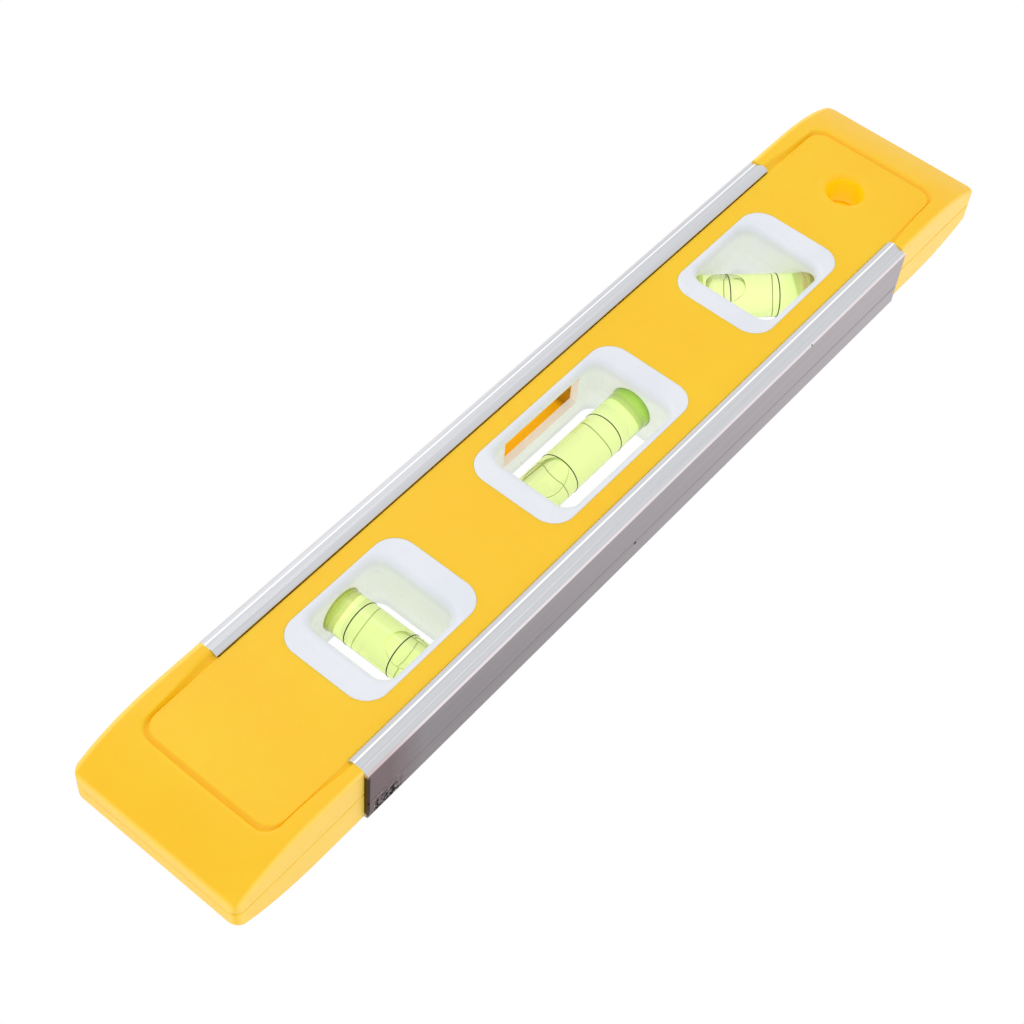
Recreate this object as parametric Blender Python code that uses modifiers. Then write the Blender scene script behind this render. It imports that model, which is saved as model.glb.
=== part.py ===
"""Pocket spirit level, 230 mm, lying on its back face.

Frame: metres. +X along the length towards the hang hole, +Y across the width
towards the top rail, +Z through the thickness, out of the front face. The
origin is under the middle of the level, on the plane that it lies on.
"""
import math

import bmesh
import bpy
from mathutils import Matrix, Vector

MM = 0.001

# Overall
LENGTH = 230.0 * MM
WIDTH = 40.4 * MM
HALF_THICK = 8.3 * MM

# Clearances
FIT = 0.3 * MM
RING_FIT = 0.1 * MM

# Rails: bent aluminium channels along both long edges
RAIL_FROM_TIP = 31.3 * MM
RAIL_WEB = 1.2 * MM
RAIL_LIP_REACH = 4.6 * MM
RAIL_RIDGE_INSET = 3.3 * MM
RAIL_SHOULDER_DROP = 1.0 * MM
RAIL_INNER_DROP = 0.55 * MM
RAIL_LIP_THICK = 0.8 * MM
RAIL_GROOVE_Z = -2.3 * MM
RAIL_GROOVE = 0.35 * MM
STAKE_SIZE = (3.0 * MM, 4.2 * MM)
STAKE_DEPTH = 0.5 * MM
STAKE_FROM_END = 4.0 * MM
STAKE_Z = -2.6 * MM

# Moulded body
END_INSET = 0.9 * MM
END_CURVE_FROM_TIP = 23.0 * MM
END_TOP_DROP = 0.1 * MM
END_TIP_HALF = 3.2 * MM
END_CURVE_POWER = 2.6
END_CORNER = 2.6 * MM
END_ROUND = 1.1 * MM
PANEL_DROP = 1.0 * MM
PANEL_FROM_TIP = 13.0 * MM
PANEL_CORNER = 3.6 * MM
SEAT_FLOOR = 0.3 * MM
HANG_HOLE_FROM_TIP = 24.2 * MM
HANG_HOLE_R = 4.0 * MM
BOSS_WALL = 2.0 * MM
BODY_WALL = 2.2 * MM
SIDE_WALL = 4.2 * MM
RIB = 5.0 * MM
PEG_R = 1.2 * MM
PEG_DEPTH = 2.6 * MM
PEG_Y = 8.0 * MM

# White vial frames: outer length, centre, and opening length of each
FRAME_WIDTH = 23.0 * MM
FRAME_CORNER = 5.0 * MM
FRAME_FLANGE = 1.2 * MM
FRAME_FLANGE_THICK = 1.8 * MM
FRAME_CHAMFER = 1.2 * MM
OPENING_WIDTH = 19.6 * MM
OPENING_CORNER = 3.0 * MM
LEVEL_FRAME = 44.3 * MM
LEVEL_OPENING = 32.8 * MM
PLUMB_FRAME = 32.0 * MM
PLUMB_OPENING = 19.4 * MM
ANGLE_FRAME = 31.0 * MM
ANGLE_OPENING = 19.4 * MM
SIDE_WINDOW_X = 58.0 * MM

# Top-read slot over the level vial
SLOT_LENGTH = 23.0 * MM
FRAME_SLOT_TOP = 5.6 * MM
FRAME_SLOT_FLOOR = -2.0 * MM
BODY_SLOT_HALF = 4.2 * MM
RAIL_SLOT_HALF = 3.8 * MM

# Vials
VIAL_R = 4.6 * MM
VIAL_WALL = 0.8 * MM
VIAL_BARREL = 0.1 * MM
VIAL_END = 1.0 * MM
PLUG_HEAD = 1.0 * MM
PLUG_SHANK = 1.6 * MM
LEVEL_VIAL = 39.6 * MM
PLUMB_VIAL = 26.4 * MM
ANGLE_VIAL = 31.0 * MM
LEVEL_RINGS = 13.8 * MM
SHORT_RINGS = 10.4 * MM
RING_WIDTH = 0.4 * MM
RING_THICK = 0.25 * MM
LEVEL_BUBBLE = 11.0 * MM
SHORT_BUBBLE = 8.4 * MM
BUBBLE_WIDTH = 6.2 * MM
BUBBLE_FLOOR = 1.1 * MM
LEVEL_BUBBLE_AT = -11.0 * MM
PLUMB_BUBBLE_AT = -6.4 * MM
ANGLE_BUBBLE_AT = -6.0 * MM

# Facets
ROUND_STEPS = 32
CORNER_STEPS = 6
FAR = 30.0 * MM

# Derived
MID = HALF_THICK
HALF_W = WIDTH / 2
TIP = LENGTH / 2
RAIL_LENGTH = 2 * (TIP - RAIL_FROM_TIP)
END_FLAT_TO = TIP - END_CURVE_FROM_TIP
PANEL_HALF_LENGTH = TIP - PANEL_FROM_TIP
HANG_HOLE_X = TIP - HANG_HOLE_FROM_TIP
PANEL_HALF_THICK = HALF_THICK - PANEL_DROP
LIP_EDGE_Y = HALF_W - RAIL_LIP_REACH
PANEL_HALF_W = LIP_EDGE_Y - FIT
BODY_HALF_W = HALF_W - RAIL_WEB - FIT
END_HALF_W = HALF_W - END_INSET
BORE_R = VIAL_R - VIAL_WALL

WHITE = (0.80, 0.82, 0.86)
YELLOW = (0.92, 0.60, 0.03)
METAL = (0.62, 0.64, 0.68)
CLEAR = (0.93, 0.97, 0.90)
LIQUID = (0.80, 1.00, 0.24)
AIR = (0.90, 1.00, 0.80)
LINE = (0.03, 0.04, 0.02)

WINDOWS = {
    "level": dict(x=0.0, frame=LEVEL_FRAME, opening=LEVEL_OPENING, turn=0.0, vial=LEVEL_VIAL,
                  rings=LEVEL_RINGS, bubble=LEVEL_BUBBLE, at=LEVEL_BUBBLE_AT),
    "plumb": dict(x=-SIDE_WINDOW_X, frame=PLUMB_FRAME, opening=PLUMB_OPENING, turn=90.0,
                  vial=PLUMB_VIAL, rings=SHORT_RINGS, bubble=SHORT_BUBBLE, at=PLUMB_BUBBLE_AT),
    "angle": dict(x=SIDE_WINDOW_X, frame=ANGLE_FRAME, opening=ANGLE_OPENING, turn=-45.0,
                  vial=ANGLE_VIAL, rings=SHORT_RINGS, bubble=SHORT_BUBBLE, at=ANGLE_BUBBLE_AT),
}


def clear_scene():
    for obj in list(bpy.data.objects):
        bpy.data.objects.remove(obj, do_unlink=True)


def make_collection(name):
    collection = bpy.data.collections.new(name)
    bpy.context.scene.collection.children.link(collection)
    return collection


def make_material(name, colour, roughness, metallic=0.0, transmission=0.0):
    material = bpy.data.materials.new(name)
    material.use_nodes = True
    shader = material.node_tree.nodes["Principled BSDF"]
    shader.inputs["Base Color"].default_value = (*colour, 1.0)
    shader.inputs["Roughness"].default_value = roughness
    shader.inputs["Metallic"].default_value = metallic
    shader.inputs["Transmission Weight"].default_value = transmission
    return material


def add_mesh(name, mesh, collection, location=(0.0, 0.0, 0.0), rotation=(0.0, 0.0, 0.0)):
    obj = bpy.data.objects.new(name, mesh)
    obj.location = location
    obj.rotation_euler = rotation
    collection.objects.link(obj)
    return obj


def as_cutter(obj):
    obj.hide_render = True
    obj.display_type = "WIRE"
    return obj


def rounded_rect(half_x, half_y, radius, steps=CORNER_STEPS):
    """Corner arcs of a rectangle, counter-clockwise."""
    points = []
    for sign_x, sign_y, start in ((1, 1, 0), (-1, 1, 90), (-1, -1, 180), (1, -1, 270)):
        centre_x = sign_x * (half_x - radius)
        centre_y = sign_y * (half_y - radius)
        for step in range(steps + 1):
            angle = math.radians(start + 90.0 * step / steps)
            points.append((centre_x + radius * math.cos(angle), centre_y + radius * math.sin(angle)))
    return points


def slab(name, points, depth, collection, location=(0.0, 0.0, 0.0), rotation=(0.0, 0.0, 0.0),
         chamfer=0.0):
    """A flat outline given thickness both ways from its own plane."""
    curve = bpy.data.curves.new(name, "CURVE")
    curve.dimensions = "2D"
    curve.fill_mode = "BOTH"
    curve.extrude = depth / 2
    curve.bevel_depth = chamfer
    curve.bevel_resolution = 0
    spline = curve.splines.new("POLY")
    spline.points.add(len(points) - 1)
    for point, (x, y) in zip(spline.points, points):
        point.co = (x, y, 0.0, 1.0)
    spline.use_cyclic_u = True
    outline = add_mesh(name + "_outline", curve, collection, location, rotation)
    bpy.context.view_layer.update()
    depsgraph = bpy.context.evaluated_depsgraph_get()
    mesh = bpy.data.meshes.new_from_object(outline.evaluated_get(depsgraph))
    matrix = outline.matrix_world.copy()
    bpy.data.objects.remove(outline, do_unlink=True)
    bpy.data.curves.remove(curve)
    mesh.name = name
    weld(mesh)
    obj = add_mesh(name, mesh, collection)
    obj.matrix_world = matrix
    return obj


def loft(name, rings, collection):
    """A closed body through rings of points that match one to one."""
    work = bmesh.new()
    levels = [[work.verts.new(point) for point in ring] for ring in rings]
    count = len(rings[0])
    for low, high in zip(levels, levels[1:]):
        for i in range(count):
            j = (i + 1) % count
            work.faces.new((low[i], low[j], high[j], high[i]))
    work.faces.new(levels[0][::-1])
    work.faces.new(levels[-1])
    bmesh.ops.recalc_face_normals(work, faces=work.faces)
    mesh = bpy.data.meshes.new(name)
    work.to_mesh(mesh)
    work.free()
    return add_mesh(name, mesh, collection)


def weld(mesh):
    work = bmesh.new()
    work.from_mesh(mesh)
    bmesh.ops.remove_doubles(work, verts=work.verts, dist=0.000002)
    bmesh.ops.recalc_face_normals(work, faces=work.faces)
    work.to_mesh(mesh)
    work.free()


def block(name, low, high, collection):
    """A box between two corners."""
    low = Vector(low)
    high = Vector(high)
    size = high - low
    work = bmesh.new()
    bmesh.ops.create_cube(work, size=1.0, matrix=Matrix.Diagonal((*size, 1.0)))
    mesh = bpy.data.meshes.new(name)
    work.to_mesh(mesh)
    work.free()
    return add_mesh(name, mesh, collection, (low + high) / 2)


def rod(name, radius, length, collection, location=(0.0, 0.0, 0.0), rotation=(0.0, 0.0, 0.0),
        steps=ROUND_STEPS):
    work = bmesh.new()
    bmesh.ops.create_cone(work, cap_ends=True, segments=steps, radius1=radius, radius2=radius,
                          depth=length)
    mesh = bpy.data.meshes.new(name)
    work.to_mesh(mesh)
    work.free()
    return add_mesh(name, mesh, collection, location, rotation)


def turned(name, profile, collection, location, rotation, steps=ROUND_STEPS):
    """A profile of (radius, height) points spun about its own Z axis."""
    mesh = bpy.data.meshes.new(name)
    verts = [(radius, 0.0, height) for radius, height in profile]
    mesh.from_pydata(verts, [(i, i + 1) for i in range(len(verts) - 1)], [])
    obj = add_mesh(name, mesh, collection, location, rotation)
    screw = obj.modifiers.new("turn", "SCREW")
    screw.axis = "Z"
    screw.steps = steps
    screw.render_steps = steps
    screw.use_merge_vertices = True
    screw.merge_threshold = 0.000002
    return obj


def boolean(obj, tool, operation="DIFFERENCE"):
    modifier = obj.modifiers.new(operation.lower() + "_" + tool.name, "BOOLEAN")
    modifier.operation = operation
    modifier.solver = "EXACT"
    modifier.object = tool
    return modifier


def finish(obj, material, smooth_angle=35.0):
    obj.data.materials.clear()
    obj.data.materials.append(material)
    obj.data.shade_smooth()
    obj.data.set_sharp_from_angle(angle=math.radians(smooth_angle))
    return obj


def end_height(x):
    """Half thickness of the moulded body at a distance from the middle."""
    full = HALF_THICK - END_TOP_DROP
    if x <= END_FLAT_TO:
        return full
    along = min(1.0, (x - END_FLAT_TO) / END_CURVE_FROM_TIP)
    return full - (full - END_TIP_HALF) * along ** END_CURVE_POWER


def side_outline(steps=9):
    """Lengthwise outline: flat in the middle, curving down to each tip."""
    right = []
    for step in range(steps + 1):
        x = END_FLAT_TO + (END_CURVE_FROM_TIP + FIT) * step / steps
        right.append((x, end_height(x)))
    top = [(-x, z) for x, z in reversed(right)]
    bottom_right = [(x, -z) for x, z in right]
    bottom_left = [(x, -z) for x, z in top]
    return right[::-1] + top[::-1] + bottom_left + bottom_right


def rail_section(groove):
    """Channel section, with y measured outwards from the middle of the level."""
    ridge_y = HALF_W - RAIL_RIDGE_INSET
    shoulder = HALF_THICK - RAIL_SHOULDER_DROP
    inner_top = HALF_THICK - RAIL_INNER_DROP
    web_in = HALF_W - RAIL_WEB
    half = [
        (HALF_W, shoulder),
        (ridge_y, HALF_THICK),
        (LIP_EDGE_Y, inner_top),
        (LIP_EDGE_Y, inner_top - RAIL_LIP_THICK),
        (ridge_y, HALF_THICK - RAIL_LIP_THICK - 0.3 * MM),
        (web_in, shoulder - RAIL_LIP_THICK),
    ]
    lower = [(y, -z) for y, z in reversed(half)]
    points = half + lower
    if groove:
        points.append((HALF_W, RAIL_GROOVE_Z - RAIL_GROOVE / 2))
        points.append((HALF_W - RAIL_GROOVE, RAIL_GROOVE_Z))
        points.append((HALF_W, RAIL_GROOVE_Z + RAIL_GROOVE / 2))
    return points


def make_rail(name, side, parts):
    """A channel extruded along X, its section drawn in Y and Z."""
    points = [(side * y, z) for y, z in rail_section(groove=side < 0)]
    turn = (math.pi / 2, 0.0, math.pi / 2)
    return slab(name, points, RAIL_LENGTH, parts, (0.0, 0.0, MID), turn)


def make_rails(parts, tools, metal):
    top = make_rail("top_rail", 1, parts)
    slot = block("rail_slot", (-SLOT_LENGTH / 2, HALF_W - FAR, MID - RAIL_SLOT_HALF),
                 (SLOT_LENGTH / 2, HALF_W + FAR, MID + RAIL_SLOT_HALF), tools)
    boolean(top, as_cutter(slot))
    bottom = make_rail("bottom_rail", -1, parts)
    stake_x = -RAIL_LENGTH / 2 + STAKE_FROM_END
    stake = block("stake_mark",
                  (stake_x - STAKE_SIZE[0] / 2, -HALF_W - STAKE_SIZE[0],
                   MID + STAKE_Z - STAKE_SIZE[1] / 2),
                  (stake_x + STAKE_SIZE[0] / 2, -HALF_W + STAKE_DEPTH,
                   MID + STAKE_Z + STAKE_SIZE[1] / 2), tools)
    boolean(bottom, as_cutter(stake))
    finish(top, metal, 12.0)
    finish(bottom, metal, 12.0)


def seat_cutters(tools):
    """Room for the two rails: beside the web and under each lip."""
    cutters = []
    reach = RAIL_LENGTH / 2 + FIT
    floor = HALF_THICK - RAIL_SHOULDER_DROP - RAIL_LIP_THICK - SEAT_FLOOR
    for side, word in ((1, "top"), (-1, "bottom")):
        near = side * BODY_HALF_W
        far = side * (HALF_W + FAR)
        web = block("web_seat_" + word, (-reach, min(near, far), -FAR),
                    (reach, max(near, far), MID + FAR), tools)
        cutters.append(as_cutter(web))
        near = side * PANEL_HALF_W
        for level, face in ((1, "front"), (-1, "back")):
            low = min(level * floor, level * FAR)
            high = max(level * floor, level * FAR)
            lip = block("lip_seat_%s_%s" % (word, face), (-reach, min(near, far), MID + low),
                        (reach, max(near, far), MID + high), tools)
            cutters.append(as_cutter(lip))
    return cutters


def panel_cutters(tools):
    """The sunken panel on each face, with round corners at both ends."""
    outline = rounded_rect(PANEL_HALF_LENGTH, PANEL_HALF_W, PANEL_CORNER)
    cutters = []
    for side, word in ((1, "front"), (-1, "back")):
        height = MID + side * (PANEL_HALF_THICK + FAR / 2)
        panel = slab("panel_" + word, outline, FAR, tools, (0.0, 0.0, height))
        cutters.append(as_cutter(panel))
    return cutters


def window_cutters(name, spec, tools):
    """Well for the frame, rebate for its flange, and pockets for the vial's ends."""
    grow = FIT
    well = slab("well_" + name,
                rounded_rect(spec["frame"] / 2 + grow, FRAME_WIDTH / 2 + grow, FRAME_CORNER + grow),
                2 * FAR, tools, (spec["x"], 0.0, MID))
    grow = FRAME_FLANGE + FIT
    rebate = slab("rebate_" + name,
                  rounded_rect(spec["frame"] / 2 + grow, FRAME_WIDTH / 2 + grow,
                               FRAME_CORNER + grow),
                  2 * (FRAME_FLANGE_THICK + FIT), tools, (spec["x"], 0.0, MID))
    return [as_cutter(well), as_cutter(rebate)]


def vial_cutter(name, spec, tools):
    channel = rod("vial_seat_" + name, VIAL_R + FIT, spec["vial"] + 2 * FIT, tools,
                  (spec["x"], 0.0, MID), vial_rotation(spec))
    return as_cutter(channel)


def vial_rotation(spec):
    """Turns an upright part on to the vial's axis."""
    return (0.0, math.pi / 2, math.radians(spec["turn"]))


def vial_point(spec, along, height=0.0):
    """Point at a distance along the vial from its middle."""
    angle = math.radians(spec["turn"])
    return (spec["x"] + along * math.cos(angle), along * math.sin(angle), MID + height)


def pocket_cutters(tools):
    """Hollows inside the moulded halves, open at the parting plane."""
    depth = 2 * (PANEL_HALF_THICK - BODY_WALL)
    half_y = BODY_HALF_W - SIDE_WALL
    rebate = FRAME_FLANGE + FIT
    cutters = []
    spans = {
        "pocket_mid_plumb": (-SIDE_WINDOW_X + PLUMB_FRAME / 2 + rebate + BODY_WALL,
                             -LEVEL_FRAME / 2 - rebate - BODY_WALL),
        "pocket_mid_angle": (LEVEL_FRAME / 2 + rebate + BODY_WALL,
                             SIDE_WINDOW_X - ANGLE_FRAME / 2 - rebate - BODY_WALL),
        "pocket_end_plumb": (-end_pocket_limit(), -SIDE_WINDOW_X - PLUMB_FRAME / 2 - rebate - RIB),
        "pocket_end_angle": (SIDE_WINDOW_X + ANGLE_FRAME / 2 + rebate + RIB, end_pocket_limit()),
    }
    for name, (start, stop) in spans.items():
        outline = rounded_rect((stop - start) / 2, half_y, 2.0 * MM, 3)
        pocket = slab(name, outline, depth, tools, ((start + stop) / 2, 0.0, MID))
        cutters.append(as_cutter(pocket))
    boss = rod("hang_hole_boss", HANG_HOLE_R + BOSS_WALL, 2 * FAR, tools,
               (HANG_HOLE_X, 0.0, MID))
    boolean(cutters[-1], as_cutter(boss))
    return cutters


def end_pocket_limit():
    """How far the end pockets reach before the wall over them grows thin."""
    limit = END_FLAT_TO
    while end_height(limit) > PANEL_HALF_THICK - 0.3 * MM:
        limit += 0.5 * MM
    return limit


def peg_points():
    rebate = FRAME_FLANGE + FIT
    left = -SIDE_WINDOW_X - PLUMB_FRAME / 2 - rebate - RIB / 2
    right = SIDE_WINDOW_X + ANGLE_FRAME / 2 + rebate + RIB / 2
    return [(x, y) for x in (left, right) for y in (PEG_Y, -PEG_Y)]


def make_shell(name, side, cutters, parts, tools):
    """One moulded half, from the parting plane out to its face."""
    outline = rounded_rect(TIP, END_HALF_W, END_CORNER)
    shell = slab(name, outline, 2 * HALF_THICK, parts, (0.0, 0.0, MID))
    boolean(shell, tools["side_outline"], "INTERSECT")
    edge = shell.modifiers.new("rounded_edges", "BEVEL")
    edge.width = END_ROUND
    edge.segments = 2
    edge.limit_method = "ANGLE"
    edge.angle_limit = math.radians(50.0)
    low = min(side * FIT / 2, side * FAR)
    high = max(side * FIT / 2, side * FAR)
    half = block("half_" + name, (-LENGTH, -FAR * 2, MID + low), (LENGTH, FAR * 2, MID + high),
                 tools["collection"])
    boolean(shell, as_cutter(half), "INTERSECT")
    for cutter in cutters:
        boolean(shell, cutter)
    for number, (x, y) in enumerate(peg_points(), 1):
        if side > 0:
            top = 2.0 * MM
            length = top + PEG_DEPTH
            peg = rod("peg_%d" % number, PEG_R, length, tools["collection"],
                      (x, y, MID + top - length / 2), steps=16)
            boolean(shell, as_cutter(peg), "UNION")
        else:
            depth = PEG_DEPTH + FIT
            socket = rod("socket_%d" % number, PEG_R + FIT, 2 * depth, tools["collection"],
                         (x, y, MID), steps=16)
            boolean(shell, as_cutter(socket))
    return shell


def make_shells(parts, cut_collection, yellow):
    profile = slab("side_outline", side_outline(), 2 * WIDTH, cut_collection, (0.0, 0.0, MID),
                   (math.pi / 2, 0.0, 0.0))
    tools = {"collection": cut_collection, "side_outline": as_cutter(profile)}
    cutters = seat_cutters(cut_collection) + panel_cutters(cut_collection)
    for name, spec in WINDOWS.items():
        cutters += window_cutters(name, spec, cut_collection)
        if spec["turn"]:
            cutters.append(vial_cutter("end_" + name, spec, cut_collection))
    cutters += pocket_cutters(cut_collection)
    hole = rod("hang_hole", HANG_HOLE_R, 4 * FAR, cut_collection, (HANG_HOLE_X, 0.0, MID))
    cutters.append(as_cutter(hole))
    slot = block("body_slot", (-SLOT_LENGTH / 2, 0.0, MID - BODY_SLOT_HALF),
                 (SLOT_LENGTH / 2, FAR, MID + BODY_SLOT_HALF), cut_collection)
    cutters.append(as_cutter(slot))
    for name, side in (("front_shell", 1), ("back_shell", -1)):
        shell = make_shell(name, side, cutters, parts, tools)
        finish(shell, yellow)


def make_frame(name, spec, side, parts, tools, white):
    """Half of a white vial frame, from the seam out to its face."""
    face = "front" if side > 0 else "back"
    label = "%s_frame_%s" % (name, face)
    gap = FIT / 2
    body_depth = PANEL_HALF_THICK - gap
    body = slab(label, rounded_rect(spec["frame"] / 2, FRAME_WIDTH / 2, FRAME_CORNER), body_depth,
                parts, (spec["x"], 0.0, MID + side * (gap + body_depth / 2)))
    flange_depth = FRAME_FLANGE_THICK - gap
    flange = slab("flange_" + label,
                  rounded_rect(spec["frame"] / 2 + FRAME_FLANGE, FRAME_WIDTH / 2 + FRAME_FLANGE,
                               FRAME_CORNER + FRAME_FLANGE),
                  flange_depth, tools, (spec["x"], 0.0, MID + side * (gap + flange_depth / 2)))
    boolean(body, as_cutter(flange), "UNION")
    boolean(body, opening_cutter(label, spec, side, tools))
    boolean(body, vial_cutter(label, spec, tools))
    if name == "level":
        slot = block("slot_" + label,
                     (-SLOT_LENGTH / 2, 0.0, MID + FRAME_SLOT_FLOOR),
                     (SLOT_LENGTH / 2, FAR, MID + FRAME_SLOT_TOP), tools)
        boolean(body, as_cutter(slot))
    finish(body, white)


def opening_cutter(label, spec, side, tools):
    """The way through the frame, flaring at 45 degrees next to its face."""
    half_x = spec["opening"] / 2
    half_y = OPENING_WIDTH / 2
    sections = [(0.0, -FAR), (0.0, PANEL_HALF_THICK - FRAME_CHAMFER),
                (2 * FRAME_CHAMFER, PANEL_HALF_THICK + FRAME_CHAMFER)]
    rings = []
    for grow, height in sections:
        outline = rounded_rect(half_x + grow, half_y + grow, OPENING_CORNER + grow)
        rings.append([(spec["x"] + x, y, MID + side * height) for x, y in outline])
    return as_cutter(loft("opening_" + label, rings, tools))


def make_vial(name, spec, parts, tools, looks):
    """Tube closed at one end, plug, liquid, bubble and two gauge rings."""
    turn = vial_rotation(spec)
    centre = vial_point(spec, 0.0)
    half = spec["vial"] / 2
    open_end = half - PLUG_HEAD - FIT
    floor = -half + VIAL_END
    tube = turned(name + "_vial_tube",
                  [(0.0, floor), (BORE_R - VIAL_BARREL, floor), (BORE_R, floor * 0.5),
                   (BORE_R, open_end * 0.5), (BORE_R - VIAL_BARREL, open_end),
                   (VIAL_R, open_end), (VIAL_R, -half), (0.0, -half)],
                  parts, centre, turn)
    finish(tube, looks["clear"])
    plug_r = BORE_R - VIAL_BARREL - FIT
    inner = open_end - PLUG_SHANK
    plug = turned(name + "_vial_plug",
                  [(0.0, inner), (plug_r, inner), (plug_r, open_end + FIT),
                   (VIAL_R, open_end + FIT), (VIAL_R, half), (0.0, half)][::-1],
                  parts, centre, turn)
    finish(plug, looks["plug"])
    column = (floor + FIT, inner - FIT)
    make_liquid(name, spec, column, plug_r, parts, tools, looks)
    make_bubble(name, spec, plug_r, parts, tools, looks)
    for number, sign in ((1, -1), (2, 1)):
        make_ring("%s_gauge_ring_%d" % (name, number), spec, sign * spec["rings"] / 2, parts, looks)


def make_liquid(name, spec, column, radius, parts, tools, looks):
    """The liquid, level along its top so that the bubble can travel over it."""
    start, stop = column
    liquid = rod(name + "_liquid", radius, stop - start, parts,
                 vial_point(spec, (start + stop) / 2), vial_rotation(spec))
    over = block("over_" + name, (-FAR, -FAR, 0.0), (FAR, FAR, FAR), tools)
    over.location = (spec["x"], 0.0, MID + BUBBLE_FLOOR - FIT + FAR / 2)
    over.rotation_euler = (0.0, 0.0, math.radians(spec["turn"]))
    boolean(liquid, as_cutter(over))
    finish(liquid, looks["liquid"])


def make_bubble(name, spec, radius, parts, tools, looks):
    """Domed on top like the bore, flat underneath, oval in plan; it slides along the vial."""
    bubble = rod(name + "_bubble", radius, spec["bubble"] * 1.2, parts,
                 vial_point(spec, spec["at"]), vial_rotation(spec))
    oval = []
    for step in range(28):
        angle = 2 * math.pi * step / 28
        power = 0.8
        x = math.copysign(abs(math.cos(angle)) ** power, math.cos(angle))
        y = math.copysign(abs(math.sin(angle)) ** power, math.sin(angle))
        oval.append((x * spec["bubble"] / 2, y * BUBBLE_WIDTH / 2))
    height = BORE_R - BUBBLE_FLOOR
    plan = slab("plan_" + name, oval, height, tools,
                vial_point(spec, spec["at"], BUBBLE_FLOOR + height / 2),
                (0.0, 0.0, math.radians(spec["turn"])))
    boolean(bubble, as_cutter(plan), "INTERSECT")
    finish(bubble, looks["air"])


def make_ring(label, spec, along, parts, looks):
    inner = VIAL_R + RING_FIT
    outer = inner + RING_THICK
    half = RING_WIDTH / 2
    profile = [(inner, half), (outer, half), (outer, -half), (inner, -half), (inner, half)]
    ring = turned(label, profile, parts, vial_point(spec, along), vial_rotation(spec))
    finish(ring, looks["line"])


def build():
    clear_scene()
    parts = make_collection("spirit_level")
    tools = make_collection("cutters")
    yellow = make_material("yellow_abs", YELLOW, 0.42)
    white = make_material("white_abs", WHITE, 0.38)
    metal = make_material("anodised_aluminium", METAL, 0.32, metallic=1.0)
    looks = {
        "clear": make_material("clear_acrylic", CLEAR, 0.04, transmission=1.0),
        "plug": make_material("vial_plug_acrylic", CLEAR, 0.10, transmission=0.9),
        "liquid": make_material("green_liquid", LIQUID, 0.02, transmission=0.9),
        "air": make_material("air", AIR, 0.02, transmission=1.0),
        "line": make_material("gauge_line", LINE, 0.5),
    }
    make_shells(parts, tools, yellow)
    make_rails(parts, tools, metal)
    for name, spec in WINDOWS.items():
        make_frame(name, spec, 1, parts, tools, white)
        make_frame(name, spec, -1, parts, tools, white)
        make_vial(name, spec, parts, tools, looks)


build()
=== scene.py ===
"""Pocket spirit level: its looks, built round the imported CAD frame.
Shapes are written in millimetres and scaled on entry; materials read object coordinates, in metres."""

import bpy
import bmesh
import numpy as np
from mathutils import Matrix, Vector
from mathutils.geometry import delaunay_2d_cdt


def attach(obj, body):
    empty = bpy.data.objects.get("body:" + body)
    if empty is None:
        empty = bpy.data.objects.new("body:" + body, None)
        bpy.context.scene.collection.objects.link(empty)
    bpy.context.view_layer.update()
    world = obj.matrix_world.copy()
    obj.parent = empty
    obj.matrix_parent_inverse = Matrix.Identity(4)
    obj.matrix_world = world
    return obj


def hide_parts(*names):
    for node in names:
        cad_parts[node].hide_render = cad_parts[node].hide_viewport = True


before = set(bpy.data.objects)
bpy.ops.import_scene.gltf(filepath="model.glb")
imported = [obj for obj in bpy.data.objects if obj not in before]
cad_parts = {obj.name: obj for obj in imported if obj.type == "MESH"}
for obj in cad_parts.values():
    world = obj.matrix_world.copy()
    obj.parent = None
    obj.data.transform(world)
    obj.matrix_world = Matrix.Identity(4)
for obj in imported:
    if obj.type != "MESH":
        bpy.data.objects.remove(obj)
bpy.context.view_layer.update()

MM = 0.001
MERGE = 2e-6  # points this close, in metres, are one
MID = 8.3  # height of the seam between the two moulded halves
SEAM = 0.15  # half of the gap between them

# plan of the body
RAIL_X = 83.7
END_X = 115.0
BODY_Y = 18.7
END_Y = 19.3
END_FAR_Y = 19.9
END_CORNER = 2.2
PANEL_X = 102.0
PANEL_Y = 15.3
PANEL_CORNER = 3.6
PANEL_Z = 7.3
CROWN_Z = 8.2
CURVE_X = 92.0
CURVE_DROP = 5.0
BACK_DROP = 4.3  # the back half falls away less
CURVE_POWER = 2.6
EDGE_R = 0.8
GROOVE = 0.45  # soft groove round the panel, below its face
STEP_WIDTH = 2.2  # soft step up from the sunk panel to the ends
SEAM_EASE_Z = 0.42  # where the outer edge starts to turn in to the seam
HANG_X = 90.8
HANG_R = 4.0
HANG_ROUND = 1.2  # rounding of the hang hole's edge
SLOT_X = 11.5
BODY_SLOT_Z = 4.2
RAIL_SLOT_Z = 3.8
WEB_IN = 19.0
WEB_OUT = 20.2

# windows and vials
RIM = 0.06  # rounding of the pockets' edges
FRAME_Y = 11.5
FRAME_R = 5.0
OPEN_Y = 9.8
OPEN_R = 3.0
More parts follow.
